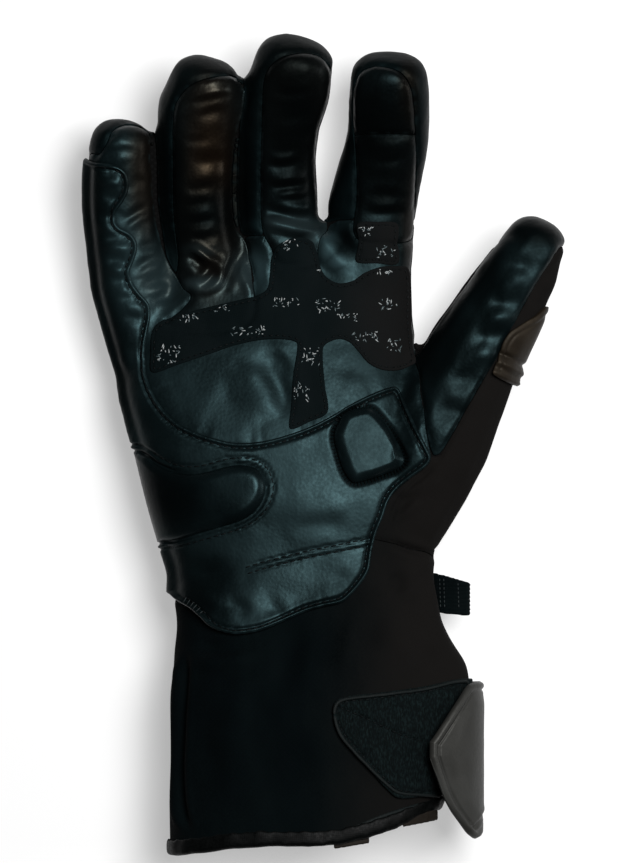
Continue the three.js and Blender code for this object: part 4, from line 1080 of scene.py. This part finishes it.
def heel_height(points, up):
    height = HEEL_THICK + folds(HEEL_FOLDS, points, up)
    height += 0.22 * noise(points, 13, 11) + 0.1 * noise(points, 5, 12)
    height += gathers(lines["heel"], points, GATHER_PITCH, 0.16, 3.5, GATHER_SEED) * smooth_step(0.0, 0.3, up)
    edge = -upper(lines["heel"], points, up)
    height += 0.4 * bump(edge, 1.0, 0.5) - 1.0 * bump(edge, 0, 0.6) - 1.0 * bump(edge, 2.2, 0.6)
    free = smooth_step(*(row_y(row) for row in HEEL_FREE_ROWS), points[:, 1])
    free *= smooth_step(HEEL_FREE_REACH, 0, edge)
    lift = smooth_step(*(column_x(column) for column in HEEL_LIFT_COLUMNS), points[:, 0])
    height += free * (HEEL_LIFT + HEEL_LIFT_MORE * lift)
    slider = lines["slider"].field(points)
    height += 0.3 * bump(slider, 1.3, 0.6)
    height -= 1.1 * bump(slider, 0.2, 0.7) + 0.7 * bump(slider, 2.4, 0.5)
    height -= 1.6 * smooth_step(0.3, 2.0, -slider)
    ring = lines["pad_groove"].field(points)
    height -= 1.9 * smooth_step(1.6, -0.6, ring) + 0.25 * noise(points, 1.2, 13) * bump(ring, 0.5, 1.0)
    close, d, along, side = fold_seam.near(points, 4)
    ends = smooth_step(0, 6, along) * smooth_step(0, 2, fold_seam.length - along)
    grooves = 0.6 * bump(side * d, FOLD_STITCH, 0.45) + 0.45 * bump(side * d, -FOLD_STITCH, 0.45)
    height[close] += ends * (0.5 * bump(d, 0, 0.6) - grooves)
    return height


def blobs(rows, points):
    out = np.zeros(len(points))
    for px, py, wide, tall, much in rows:
        x, y = mm_of(px, py)
        away = ((points[:, 0] - x) / (wide * PIXEL)) ** 2 + ((points[:, 1] - y) / (tall * PIXEL)) ** 2
        out = np.maximum(out, much * np.exp(-BLOB_FALL * away**BLOB_POWER))
    return out


# Where the hem's sag fades in, along the hand and up from the ground
SAG_Y, SAG_Z = (-116, -139), (16, 34)


def sagged(points):
    """The hem hangs lower in its middle, on the palm's side."""
    rows = np.array(HEM_SAG)
    lower = np.interp(points[:, 0] / PIXEL + PHOTO_X, rows[:, 0], rows[:, 1]) * PIXEL
    weight = smooth_step(*SAG_Y, points[:, 1]) * smooth_step(*SAG_Z, points[:, 2])
    out = points.copy()
    out[:, 1] -= lower * weight
    return out


# Millimetres outside a piece's outline that are kept for cutting and halved to finer faces, the strip that
# the rolled edge takes, and how far in from its edge a piece knows its distance
CUT_REACH, FINE_REACH, EDGE_TRIM, EDGE_KNOWN = 2.5, 1.5, 0.35, 8
# How far from a seam a panel, and from its edge what is sewn on, has finer faces
WALL_BAND, SEWN_BAND = 2.0, 3.4


def piece_of(field, rise, skirt, band, fine_all_over=False):
    """Cuts a piece from the smooth hand. field and rise give, for points and their normals, how far outside
    the piece they are and how high it stands there."""
    rough = field(base, normal, np.arange(len(base)))
    kept = faces[(rough[faces] < CUT_REACH).any(1)]
    p, t, used = compact(base, kept)
    data = np.column_stack([normal[used], seam[used], rough[used]])
    split = data[:, 4] < FINE_REACH if fine_all_over else np.abs(data[:, 4]) < band
    t, parents = refined(p, t, split)
    p = np.concatenate([p, p[parents].mean(1)])
    data = np.concatenate([data, data[parents].mean(1)])
    p = Near(len(p), t).smoothed(p, 1, np.arange(len(p)) < len(used))
    n = unit(data[:, :3])
    far = field(p, n, None)
    if far is None:
        far = data[:, 4]
    lifted = p + n * rise(p, n[:, 2], data[:, 3], far)[:, None]
    shown = normals_of(lifted, t)
    p, t, more = clip(lifted, t, far + EDGE_TRIM, np.column_stack([shown, np.clip(-far, 0, EDGE_KNOWN)]))
    p, t, more = with_skirt(p, t, unit(more[:, :3]), skirt, more)
    return sagged(p), t, more[:, 3]


# Where painted warm light makes the textile lighter and browner towards the thumb's side, and how much
CLOTH_PAINTED_LIGHT_X, CLOTH_PAINTED_LIGHT = (-20, 55), 0.9
# The least painted shade on the leather of the hand's back and the fingers' backs
BACK_PAINTED_SHADE = 0.5


def edge_and_painted_light(points, edge, cloth=False, least_shade=0.0):
    """What a piece's material reads: distance from its edge, and where warm light, shade and highlights are
    painted on it.
    """
    painted_warm_light = CLOTH_PAINTED_LIGHT * smooth_step(*CLOTH_PAINTED_LIGHT_X, points[:, 0]) if cloth else blobs(PAINTED_WARM_HIGHLIGHTS, points)
    # Painted shade, lifted where painted highlights lie
    shade, light = np.maximum(blobs(SHADE, points), least_shade), blobs(PAINTED_HIGHLIGHTS, points)
    return {"edge": edge, "painted_warm_light": painted_warm_light, "shade": shade * (1 - light), "light": light}


SKIN_LOOKS = {
    "cuff": softshell,
    "thumb_side": softshell,
    "back_panel": back_leather,
    "finger_front_ring": finger_leather,
    "finger_front_middle": finger_leather,
    "finger_front_index": finger_leather,
    "touch_tip": finger_leather,
}
trees = {}


def wall_piece(name):
    kind = back_leather if name.startswith("finger_back") else SKIN_LOOKS.get(name, leather)
    cloth = kind == softshell

    def field(points, directions, which):
        return fields[name][which] if which is not None else None

    def rise(points, up, seam_now, far):
        return skin_height(points, up, seam_now, cloth)

    p, t, edge = piece_of(field, rise, ROLLED, WALL_BAND)
    extra = edge_and_painted_light(p, edge, cloth, BACK_PAINTED_SHADE if kind == back_leather else 0.0)
    add_piece(name + "_skin", p, t, kind, [name], extra)
    return p, t


skin_points, skin_faces, count = [], [], 0
for name in WALLS:
    p, t = wall_piece(name)
    skin_points.append(p)
    skin_faces.append(t + count)
    count += len(p)
trees["skin"] = tree_of(np.concatenate(skin_points), np.concatenate(skin_faces))


def sewn_piece(name, outline, rise, material, slot, fine_all_over=False, low=SEAM_Z):
    def field(points, directions, which):
        return upper(outline, points, directions[:, 2], low)

    p, t, edge = piece_of(field, rise, SEWN, SEWN_BAND, fine_all_over)
    piece = add_piece(name + "_piece", p, t, material, [name], edge_and_painted_light(p, edge, slot == "grip"))
    trees[name] = tree_of(p, t)
    return piece


# Thickness of the grip patch, the loop patch and the guard, and how far in from the edge each is stitched
GRIP_THICK, GRIP_STITCH = 0.95, 1.4
LOOP_THICK, LOOP_STITCH = 1.2, 2.0
GUARD_THICK, GUARD_STITCH = 1.7, 2.0


def grip_rise(points, up, seam_now, far):
    height = skin_height(points, up, seam_now, False) + GRIP_THICK
    return height - 0.45 * bump(far, 0, 0.6) - 0.3 * bump(far, -GRIP_STITCH, 0.4)


LOOP_CROSS = [(338, 704), (362, 714), (385, 725), (408, 735), (424, 738)]


def loop_rise(points, up, seam_now, far):
    fuzz = 0.3 * noise(points * (1, 0.55, 1), 0.9, 21) + 0.2 * noise(points, 2.4, 22)
    inside = smooth_step(1.6, 2.6, -far)
    close, d, _, _ = Line(LOOP_CROSS).near(points, 3)
    border = 0.55 * bump(far, -0.9, 0.7) - 0.6 * bump(far, -LOOP_STITCH, 0.45)
    height = LOOP_THICK + border + (0.25 + fuzz) * inside
    height[close] -= 0.7 * bump(d, 0, 0.6)
    return height + 0.5 * noise(points, 22, 7)


# The palm slider: how wide its rounded edge is, its height there, and the pixel columns over which it rises
SLIDER_ROUND, SLIDER_HIGH, SLIDER_COLUMNS = 8.5, 4.4, (120, 262)


def slider_rise(points, up, seam_now, far):
    t = np.clip(-far / SLIDER_ROUND, 0, 1)
    tilt = 0.45 + 0.55 * smooth_step(*(column_x(column) for column in SLIDER_COLUMNS), points[:, 0])
    dome = SLIDER_HIGH * tilt * np.sqrt(1 - (1 - t) ** 2)
    return 0.5 + dome + 0.2 * noise(points, 9, 31) - 0.4 * bump(far, 0, 0.8)


# The thumb's heel pad: the same, and the pixel column of its middle, from which it leans
PAD_ROUND, PAD_HIGH, PAD_POWER, PAD_COLUMN, PAD_LEAN = 6.2, 4.8, 2.2, 370, 0.1


def pad_rise(points, up, seam_now, far):
    t = np.clip(-far / PAD_ROUND, 0, 1)
    lean = PAD_LEAN * (points[:, 0] - column_x(PAD_COLUMN)) * t
    dome = PAD_HIGH * np.sqrt(1 - (1 - t) ** PAD_POWER)
    puckers = 0.2 * noise(points, 1.4, 33) * bump(far, 0, 1)
    return 0.1 + lean + dome + 0.15 * noise(points, 6, 32) + puckers


def heel_rise(points, up, seam_now, far):
    return heel_height(points, up)


# The height above which the loop patch lies
LOOP_Z = 22.0

sewn_piece("heel_panel", lines["heel"], heel_rise, leather, "leather")
sewn_piece("grip_patch", lines["grip"], grip_rise, grip, "grip")
sewn_piece("index_grip_patch", lines["index_grip"], grip_rise, grip, "grip")
sewn_piece("loop_patch", lines["loop"], loop_rise, loop_cloth, "loop", True, LOOP_Z)
slider_pad = sewn_piece("palm_slider", lines["slider"], slider_rise, pad_leather, "leather")
heel_pad = sewn_piece("thumb_heel_pad", lines["pad_groove"], pad_rise, pad_leather, "leather", True)

# The thumb guard: its folded edge, that edge's rim and the crease above them, and how low it reaches
GUARD_Z = 6
GUARD_FOLD = [(486, 362), (498, 362), (512, 370), (530, 378)]
GUARD_RIM = [(484, 370), (496, 373), (510, 380), (526, 386)]
GUARD_CREASE = [(497, 353), (510, 358), (526, 368), (540, 374)]
# How wide and how high each of them is
GUARD_FORMS = ((GUARD_FOLD, 1.3, 1.0), (GUARD_RIM, 1.4, 1.1), (GUARD_CREASE, 0.9, -0.9))


def guard_rise(points, up, seam_now, far):
    height = GUARD_THICK + 0.3 * noise(points, 6, 41)
    height -= 0.5 * bump(far, 0, 0.8) + 0.4 * bump(far, -GUARD_STITCH, 0.5)
    for rows, wide, high in GUARD_FORMS:
        close, d, _, _ = Line(rows).near(points, 5)
        height[close] += high * bump(d, 0, wide)
    return height


def guard_piece():
    def field(points, directions, which):
        return np.maximum(lines["guard"].field(points), GUARD_Z - points[:, 2])

    p, t, edge = piece_of(field, guard_rise, SEWN, SEWN_BAND, True)
    add_piece("thumb_guard_piece", p, t, guard_leather, ["thumb_guard"], {"edge": edge})


guard_piece()

# The closure tab: a padded leather tongue that stands open round the cuff's side. angle: round the cuff from
# the thumb's side. stand: how far off the cuff. low and high: its two long edges, along the hand.
TAB_ROWS = np.array([
    (-112, 0.0, -0.74, -0.37), (-95, 0.0, -0.76, -0.34), (-72, 0.08, -0.78, -0.31), (-45, 0.4, -0.8, -0.29),
    (-22, 0.85, -0.86, -0.275), (-6, 1.0, -0.94, -0.27), (8, 1.0, -1.005, -0.265), (18, 1.0, -1.02, -0.265),
    (26, 0.98, -0.99, -0.275), (32, 0.96, -0.94, -0.33), (38, 0.93, -0.885, -0.39), (43, 0.9, -0.81, -0.45),
    (48, 0.87, -0.69, -0.515), (50.5, 0.85, -0.62, -0.545),
])
# The last two columns are shares of the cuff's length, from the wrist.
CUFF_LENGTH, WRIST_Y = 77, -66.96
TAB_STAND, TAB_LEAST_STAND, TAB_THICK = 6.5, 0.3, 2.2
# Points across and along the tab, how they bunch up towards its nearly pointed free end, and their averaging
TAB_ACROSS, TAB_ALONG, TAB_BUNCH, TAB_ROUNDS = 90, 130, 1.6, 14
# Its rounded edge, and where its stitched groove runs
TAB_ROUND, TAB_GROOVE = 1.2, 3.1
TAB_CROSS = [(468, 824), (475, 815), (484, 804), (490, 798)]
# The cuff in cross section, an ellipse with squarer corners: middle and half widths across and up
CUFF_MIDDLE, CUFF_HALF, CUFF_POWER = (-3.24, 30.48), (53.36, 27.71), 2.6
CUFF_LOWEST, ANGLE_STEP = 0.4, 0.08


def cuff_point(angle, out):
    """Round the cuff at an angle, and off it: x and z, and the outward direction there."""
    def at(a):
        c, s = np.cos(a), np.sin(a)
        x = np.sign(c) * np.abs(c) ** (2 / CUFF_POWER) * (CUFF_HALF[0] + out)
        z = np.sign(s) * np.abs(s) ** (2 / CUFF_POWER) * (CUFF_HALF[1] + out)
        return np.stack([x + CUFF_MIDDLE[0], np.maximum(z + CUFF_MIDDLE[1], CUFF_LOWEST)], axis=-1)

    run = at(angle + ANGLE_STEP) - at(angle - ANGLE_STEP)
    return at(angle), unit(np.stack([run[..., 1], -run[..., 0]], axis=-1))


def evened(rows, rounds):
    """Averages each row with its neighbours, but keeps the two ends."""
    for _ in range(rounds):
        rows[1:-1] = (rows[:-2] + 2 * rows[1:-1] + rows[2:]) / 4
    return rows


def closure_tab():
    place = 1 - (1 - np.linspace(0, 1, TAB_ALONG)) ** TAB_BUNCH
    rows = np.arange(len(TAB_ROWS)) / (len(TAB_ROWS) - 1)
    smooth = evened(np.array([np.interp(place, rows, TAB_ROWS[:, k]) for k in range(4)]).T, TAB_ROUNDS)
    angle, stand, low, high = smooth.T
    low, high = low * CUFF_LENGTH + WRIST_Y, high * CUFF_LENGTH + WRIST_Y
    share = np.linspace(0, 1, TAB_ACROSS)
    a = np.repeat(np.radians(angle)[:, None], TAB_ACROSS, axis=1)
    out = np.repeat((stand * TAB_STAND + TAB_LEAST_STAND)[:, None], TAB_ACROSS, axis=1)
    y = low[:, None] + (high - low)[:, None] * share
    xz, away = cuff_point(a, out)
    middle = np.stack([xz[..., 0], y, xz[..., 1]], axis=-1)
    direction = np.stack([away[..., 0], np.zeros_like(y), away[..., 1]], axis=-1)
    # Distance from the tab's edge, over the surface
    rim = np.concatenate([middle[:, 0], middle[-1, 1:-1], middle[::-1, -1], middle[0, 1:-1]])
    tree = kd_tree(rim)
    flat = middle.reshape(-1, 3)
    edge = np.array([tree.find(q)[2] for q in flat.tolist()]).reshape(y.shape)
    puff = 0.5 * smooth_step(3.4, 9, edge) + 0.35 * bump(edge, 1.6, 0.9) - 0.6 * bump(edge, TAB_GROOVE, 0.5)
    _, d, _, _ = Line(TAB_CROSS).near(flat, FAR_AWAY)
    puff -= (0.6 * bump(d, 0, 0.5) - 0.3 * bump(d, 1.3, 0.7)).reshape(y.shape) * (direction[..., 2] > 0)
    puff += (0.25 * noise(flat, 14, 51) + 0.12 * noise(flat, 5, 52)).reshape(y.shape)
    round_off = np.sqrt(1 - (1 - np.clip(edge / TAB_ROUND, 0, 1)) ** 2)
    half = TAB_THICK / 2
    outer = middle + direction * (half + (half + puff) * round_off)[..., None]
    inner = middle + direction * (half - half * round_off)[..., None]
    p = np.concatenate([outer.reshape(-1, 3), inner.reshape(-1, 3)])
    i, j = np.meshgrid(np.arange(TAB_ALONG - 1), np.arange(TAB_ACROSS - 1), indexing="ij")
    q = (i * TAB_ACROSS + j).ravel()
    t = np.concatenate(stacked((q, q + TAB_ACROSS, q + 1), (q + 1, q + TAB_ACROSS, q + TAB_ACROSS + 1)))
    t = np.concatenate([t, t[:, ::-1] + len(flat)])
    p, t = welded(p, t, 0.001)
    if (normals_of(p, t) * (p - p.mean(0))).sum() < 0:
        t = t[:, ::-1]
    return p, t


p, t = closure_tab()
add_piece(
    "closure_tab_piece", p, t, tab_leather, ["closure_tab"], edge_and_painted_light(p, np.full(len(p), UNWORN)),
)


def smooth_copy(name, voxel, rounds, back=10):
    """A CAD node with its facets smoothed away."""
    source, source_faces = node_arrays(name)
    p, t = remeshed(source, source_faces, voxel)
    around = Near(len(p), t)
    p = around.smoothed(p, rounds)
    at, _ = closest(tree_of(source, source_faces), p)
    n = normals_of(p, t)
    off = around.smoothed(((p - at) * n).sum(1), back)
    return p - n * off[:, None], t


# The webbing's ribs: how high and how far apart. The hem tabs' places, moved to meet the sagging hem
RIB_HIGH, RIB_PITCH = 0.14, 1.5
HEM_TAB_SHIFTS = (("hem_tab_middle", (0, -1.9, 0)), ("hem_tab_side", (4.2, 2.6, 0)))


def plain_pieces():
    p, t = smooth_copy("wrist_strap", 0.5, 6)
    n = normals_of(p, t)
    p = p + n * (RIB_HIGH * np.sin(p[:, 1] * 2 * np.pi / RIB_PITCH) * (np.abs(n[:, 1]) < 0.5))[:, None]
    add_piece("wrist_strap_piece", p, t, webbing, ["wrist_strap"])
    trees["wrist_strap"] = tree_of(p, t)
    p, t = smooth_copy("hem_binding", 0.8, 6, 12)
    n = normals_of(p, t)
    p = p + n * (0.22 * noise(p, 6, 61) + 0.12 * noise(p, 2.5, 62))[:, None]
    add_piece("hem_binding_piece", sagged(p), t, binding_cloth, ["hem_binding"])
    for name, shift in HEM_TAB_SHIFTS:
        p, t = smooth_copy(name, 0.35, 4)
        add_piece(name + "_piece", p + shift, t, tab_cloth, [name])


plain_pieces()
lining_near = Near(len(lining), lining_faces)
lining = sagged(lining_near.smoothed(lining, LINING_ROUNDS))
add_piece("lining", lining, lining_faces, lining_cloth)
# Seam allowances close the thin gaps between the panels: how wide they are, and how far below the surface
ALLOWANCE_WIDE, ALLOWANCE_DEEP = 2.6, 1.6
p, t, used = compact(base, faces[(seam[faces] < ALLOWANCE_WIDE).all(1)])
add_piece("seam_allowance", sagged(p - normal[used] * ALLOWANCE_DEEP), t, lining_cloth)


# Stitches, piping and print

# A height above everything, from which a line's points are dropped onto a surface
DROP_FROM = 200.0


def drop(tree, x, y):
    """Where a point of the ground plane meets a surface from above, and its normal."""
    hit = tree.ray_cast((float(x), float(y), DROP_FROM), (0.0, 0.0, -1.0))
    return (None, None) if hit[0] is None else (np.array(hit[0]), np.array(hit[1]))


def tube_faces(rings, sides):
    """The side faces of a tube: rings of points, each ring after the other."""
    i, j = np.meshgrid(np.arange(rings - 1), np.arange(sides), indexing="ij")
    one, two = (i * sides + j).ravel(), (i * sides + (j + 1) % sides).ravel()
    return np.concatenate(stacked((one, two, two + sides), (one, two + sides, one + sides)))


# A stitch's rings, as shares of its length and width, and its sides
CAPSULE_RINGS = [(-0.5, 0.05), (-0.44, 0.62), (-0.2, 1.0), (0.2, 1.0), (0.44, 0.62), (0.5, 0.05)]
CAPSULE_SIDES = 6


def capsule(middle, along, up, length, width, high):
    side = unit(np.cross(along, up))
    up = np.cross(side, along)
    a = np.arange(CAPSULE_SIDES) * 2 * np.pi / CAPSULE_SIDES
    profile = side * (np.cos(a) * width / 2)[:, None] + up * (np.sin(a) * high)[:, None]
    p = np.concatenate([middle + along * place * length + profile * size for place, size in CAPSULE_RINGS])
    last = len(p) - CAPSULE_SIDES
    caps = [(0, i + 1, i) for i in range(1, CAPSULE_SIDES - 1)]
    caps += [(last, last + i, last + i + 1) for i in range(1, CAPSULE_SIDES - 1)]
    return p, np.concatenate([tube_faces(len(CAPSULE_RINGS), CAPSULE_SIDES), caps])


def between(a, b, up, lift, spare, width, high):
    """A stitch from one place to another."""
    run = b - a
    return capsule((a + b) / 2 + up * lift, unit(run), unit(up), np.linalg.norm(run) + spare, width, high)


class Heap:
    """Many small closed bodies in one piece."""

    def __init__(self):
        self.points, self.faces, self.count = [], [], 0

    def put(self, p, t):
        self.points.append(p)
        self.faces.append(t + self.count)
        self.count += len(p)

    def piece(self, name, material, slot):
        p, t = np.concatenate(self.points), np.concatenate(self.faces)
        add_piece(name, p, t, material, (), {"edge": np.full(len(p), UNWORN)})


STITCH_HIGH = 0.3
# The steepest surface that still takes a stitch, a cord or a print mark, and how far their ends may differ
STITCH_UP, CORD_UP, PRINT_UP = 0.25, 0.05, 0.3
STITCH_STEP, ACROSS_STEP, PRINT_STEP = 1.5, 3, 0.8


def stitch(heap, line, tree, pitch=2.7, length=2.0, width=0.55):
    """A row of stitches along a line."""
    for k in range(int(line.length / pitch)):
        middle = (k + 0.5) * pitch
        (a, na) = drop(tree, *line.at(middle - length / 2))
        (b, nb) = drop(tree, *line.at(middle + length / 2))
        if a is None or b is None or min(na[2], nb[2]) < STITCH_UP or abs(a[2] - b[2]) > STITCH_STEP:
            continue
        heap.put(*between(a, b, na + nb, 0.04, 0, width, STITCH_HIGH))


CORD_PITCH, CORD_SINK, CORD_SIDES, CORD_END = 0.8, 0.2, 8, 0.05


def cord(heap, line, tree, radius):
    """A piping laid along a line on a surface."""
    path = []
    for k in range(int(line.length / CORD_PITCH) + 1):
        at, up = drop(tree, *line.at(k * CORD_PITCH))
        if at is not None and up[2] > CORD_UP:
            path.append(at + up * (radius - CORD_SINK))
    path = evened(np.array(path), 3)
    run = unit(np.gradient(path, axis=0))
    side = unit(np.cross(run, (0.0, 0.0, 1.0)))
    up = np.cross(side, run)
    a = np.arange(CORD_SIDES) * 2 * np.pi / CORD_SIDES
    size = np.ones(len(path)) * radius
    size[0] = size[-1] = CORD_END
    ring = side[:, None] * np.cos(a)[:, None] + up[:, None] * np.sin(a)[:, None]
    p = path[:, None] + size[:, None, None] * ring
    heap.put(p.reshape(-1, 3), tube_faces(len(path), CORD_SIDES))


def across_stitches(heap, line, tree, pitch, length, width):
    """Short stitches set square to a line, as an overcast edge has them."""
    for k in range(int(line.length / pitch)):
        middle = (k + 0.5) * pitch
        here, next_place = line.at(middle), line.at(middle + 0.3)
        x, y = next_place - here
        run = unit(np.array([y, -x])) * length / 2
        (a, na), (b, nb) = drop(tree, *(here - run)), drop(tree, *(here + run))
        if a is None or b is None or abs(a[2] - b[2]) > ACROSS_STEP:
            continue
        heap.put(*between(a, b, na + nb, 0.1, 0, width, STITCH_HIGH))


# The print's loose groups: a pixel, and how far the group reaches sideways and along
PRINT = [
    (285, 245, 13, 5), (330, 272, 12, 6), (345, 268, 9, 6), (366, 232, 8, 5), (386, 252, 10, 6),
    (386, 270, 9, 4), (190, 318, 11, 5), (221, 308, 9, 4), (250, 331, 19, 4), (286, 303, 13, 5),
    (328, 307, 12, 8), (387, 305, 10, 5), (365, 337, 12, 5), (169, 355, 12, 9), (310, 357, 9, 9),
    (301, 392, 8, 9), (395, 345, 8, 6), (348, 318, 9, 4),
]
# The seed of its random draws, and how many marks a group has: one for so much area, and some more
PRINT_SEED, PRINT_EACH, PRINT_LEAST = 7, 4, 5
# A mark's turn, its lengths and its width
PRINT_TURN, PRINT_LENGTHS, PRINT_WIDE = 3.1, [0.35, 0.6, 1.3], 0.42
# How far inside the index finger's patch a mark still lies on that patch, and the share of dim marks
PRINT_INSIDE, PRINT_DIM_SHARE = -1.2, 0.6


def print_marks():
    """A plain pattern of small raised dots and dashes, in loose groups."""
    chance = np.random.default_rng(PRINT_SEED)
    heaps = Heap(), Heap()
    for px, py, wide, tall in PRINT:
        for _ in range(int(wide * tall / PRINT_EACH) + PRINT_LEAST):
            place = np.array(mm_of(px + chance.uniform(-wide, wide), py + chance.uniform(-tall, tall)))
            turn, long = chance.uniform(0.0, PRINT_TURN), chance.choice(PRINT_LENGTHS)
            run = np.array([np.cos(turn), np.sin(turn)]) * long / 2
            on_index = lines["index_grip"].field(place[None])[0] < PRINT_INSIDE
            tree = trees["index_grip_patch" if on_index else "grip_patch"]
            (a, na), (b, nb) = drop(tree, *(place - run)), drop(tree, *(place + run))
            if a is None or b is None or na[2] < PRINT_UP or abs(a[2] - b[2]) > PRINT_STEP:
                continue
            mark = between(a, b, na + nb, 0, 0.3, PRINT_WIDE, STITCH_HIGH)
            heaps[int(chance.random() < PRINT_DIM_SHARE)].put(*mark)
    heaps[0].piece("grip_print", print_bright, "grip")
    heaps[1].piece("grip_print_dim", print_dim, "grip")


# Lines that are only sewn or corded: where the heel's edge is overcast, the piping above the hem, the strap's
# rows of stitches, and the place and size of the web that closes the gap between two fingers
OVERCAST = [(184, 598), (196, 606), (206, 617), (216, 627)]
HEM_PIPING = [(352, 824), (382, 812), (415, 802), (432, 799)]
STRAP_COLUMNS, STRAP_ROWS = (440, 444, 458), (578, 612)
WEB_PIXEL, WEB_Z, WEB_SIZE = (236, 192), 20.0, (16.0, 4.0, 3.0)


def sewn(name, material, slot, rows):
    """Makes one piece of several rows: what kind, along which line, on which surface, and its sizes."""
    heap = Heap()
    for kind, line, tree, *sizes in rows:
        kind(heap, line, trees[tree], *sizes)
    heap.piece(name, material, slot)


def all_stitches():
    sewn("heel_stitches", thread, "leather", [
        (stitch, lines["heel"].moved(-2.1), "heel_panel"),
        (stitch, lines["slider"].moved(2.4), "heel_panel"),
        (stitch, fold_seam.moved(FOLD_STITCH), "heel_panel"),
        (stitch, fold_seam.moved(-FOLD_STITCH), "heel_panel"),
        (across_stitches, lines["pad_groove"].moved(0.3), "heel_panel", 1.3, 2.2, 0.4),
    ])
    sewn("heel_overcast", worn_thread, "leather", [
        (across_stitches, Line(OVERCAST), "heel_panel", 1.5, 2.6, 0.5),
    ])
    sewn("grip_stitches", thread, "grip", [
        (stitch, lines["grip"].moved(-GRIP_STITCH), "grip_patch", 2.4, 1.5, 0.5),
        (stitch, lines["index_grip"].moved(-GRIP_STITCH), "index_grip_patch", 2.4, 1.5, 0.5),
    ])
    sewn("loop_stitches", thread, "loop", [
        (stitch, lines["loop"].moved(-LOOP_STITCH), "loop_patch", 2.6, 1.9, 0.5),
        (stitch, Line(LOOP_CROSS), "loop_patch", 2.6, 1.9, 0.5),
    ])
    sewn("piping", loop_border, "binding", [
        (cord, lines["loop"].moved(-0.8), "loop_patch", 0.55),
        (cord, Line(HEM_PIPING), "skin", 0.7),
    ])
    top, bottom = STRAP_ROWS
    sewn("strap_stitches", worn_thread, "webbing", [
        (stitch, Line([(x, top), (x + 1, bottom)]), "wrist_strap", 1.6, 1.2, 0.5) for x in STRAP_COLUMNS
    ])
    heap = Heap()
    middle = np.array([*mm_of(*WEB_PIXEL), WEB_Z])
    heap.put(*capsule(middle, np.array([0, 1.0, 0]), np.array([0, 0, 1.0]), *WEB_SIZE))
    heap.piece("finger_web", back_leather, "leather")


print_marks()
all_stitches()

# Floor, light and camera, in metres

WORLD_LIGHT = 0.03
FLOOR_HALF, FLOOR_Z, FLOOR_GREY, FLOOR_GLOW = 3.0, -0.0005, 0.27, 0.44
# A lamp's name, place, size and power
LAMPS = [("key", (0.4, 0.3, 1.45), 0.7, 60), ("side", (1.3, 0.1, 0.45), 0.6, 8)]
# How far the camera stands above the glove's middle height
CAMERA_AWAY, MIDDLE_Z, SENSOR = 3.0, 0.025, 36


def floor():
    mesh = bpy.data.meshes.new("floor")
    corners = [(-1, -1, 0), (1, -1, 0), (1, 1, 0), (-1, 1, 0)]
    mesh.from_pydata([tuple(FLOOR_HALF * v for v in corner) for corner in corners], [], [(0, 1, 2, 3)])
    grey = (FLOOR_GREY, FLOOR_GREY, FLOOR_GREY, 1)
    pale = Look("floor", Base_Color=grey, Roughness=0.95, Specular_IOR_Level=0.0)
    pale.shader.inputs["Emission Color"].default_value = (1, 1, 1, 1)
    pale.shader.inputs["Emission Strength"].default_value = FLOOR_GLOW
    mesh.materials.append(pale.made)
    thing = linked("floor", mesh)
    thing.location.z = FLOOR_Z


def light():
    world = bpy.data.worlds.new("studio")
    bpy.context.scene.world = world
    world.use_nodes = True
    sky = world.node_tree.nodes["Background"]
    sky.inputs["Color"].default_value = (1, 1, 1, 1)
    sky.inputs["Strength"].default_value = WORLD_LIGHT
    for name, place, size, power in LAMPS:
        lamp = bpy.data.lights.new(name, "AREA")
        lamp.size = size
        lamp.energy = power
        thing = linked(name, lamp)
        thing.location = place
        thing.rotation_mode = "QUATERNION"
        thing.rotation_quaternion = (-Vector(place)).to_track_quat("-Z", "Y")


def camera():
    lens = bpy.data.cameras.new("camera")
    lens.sensor_width = SENSOR
    lens.lens = SENSOR * CAMERA_AWAY / (PHOTO_HEIGHT * PIXEL * MM)
    thing = linked("camera", lens)
    x, y = mm_of(PHOTO_WIDTH / 2, PHOTO_HEIGHT / 2)
    thing.location = (x * MM, y * MM, MIDDLE_Z + CAMERA_AWAY)
    bpy.context.scene.camera = thing
    bpy.context.scene.view_settings.view_transform = "Standard"


floor()
light()
camera()
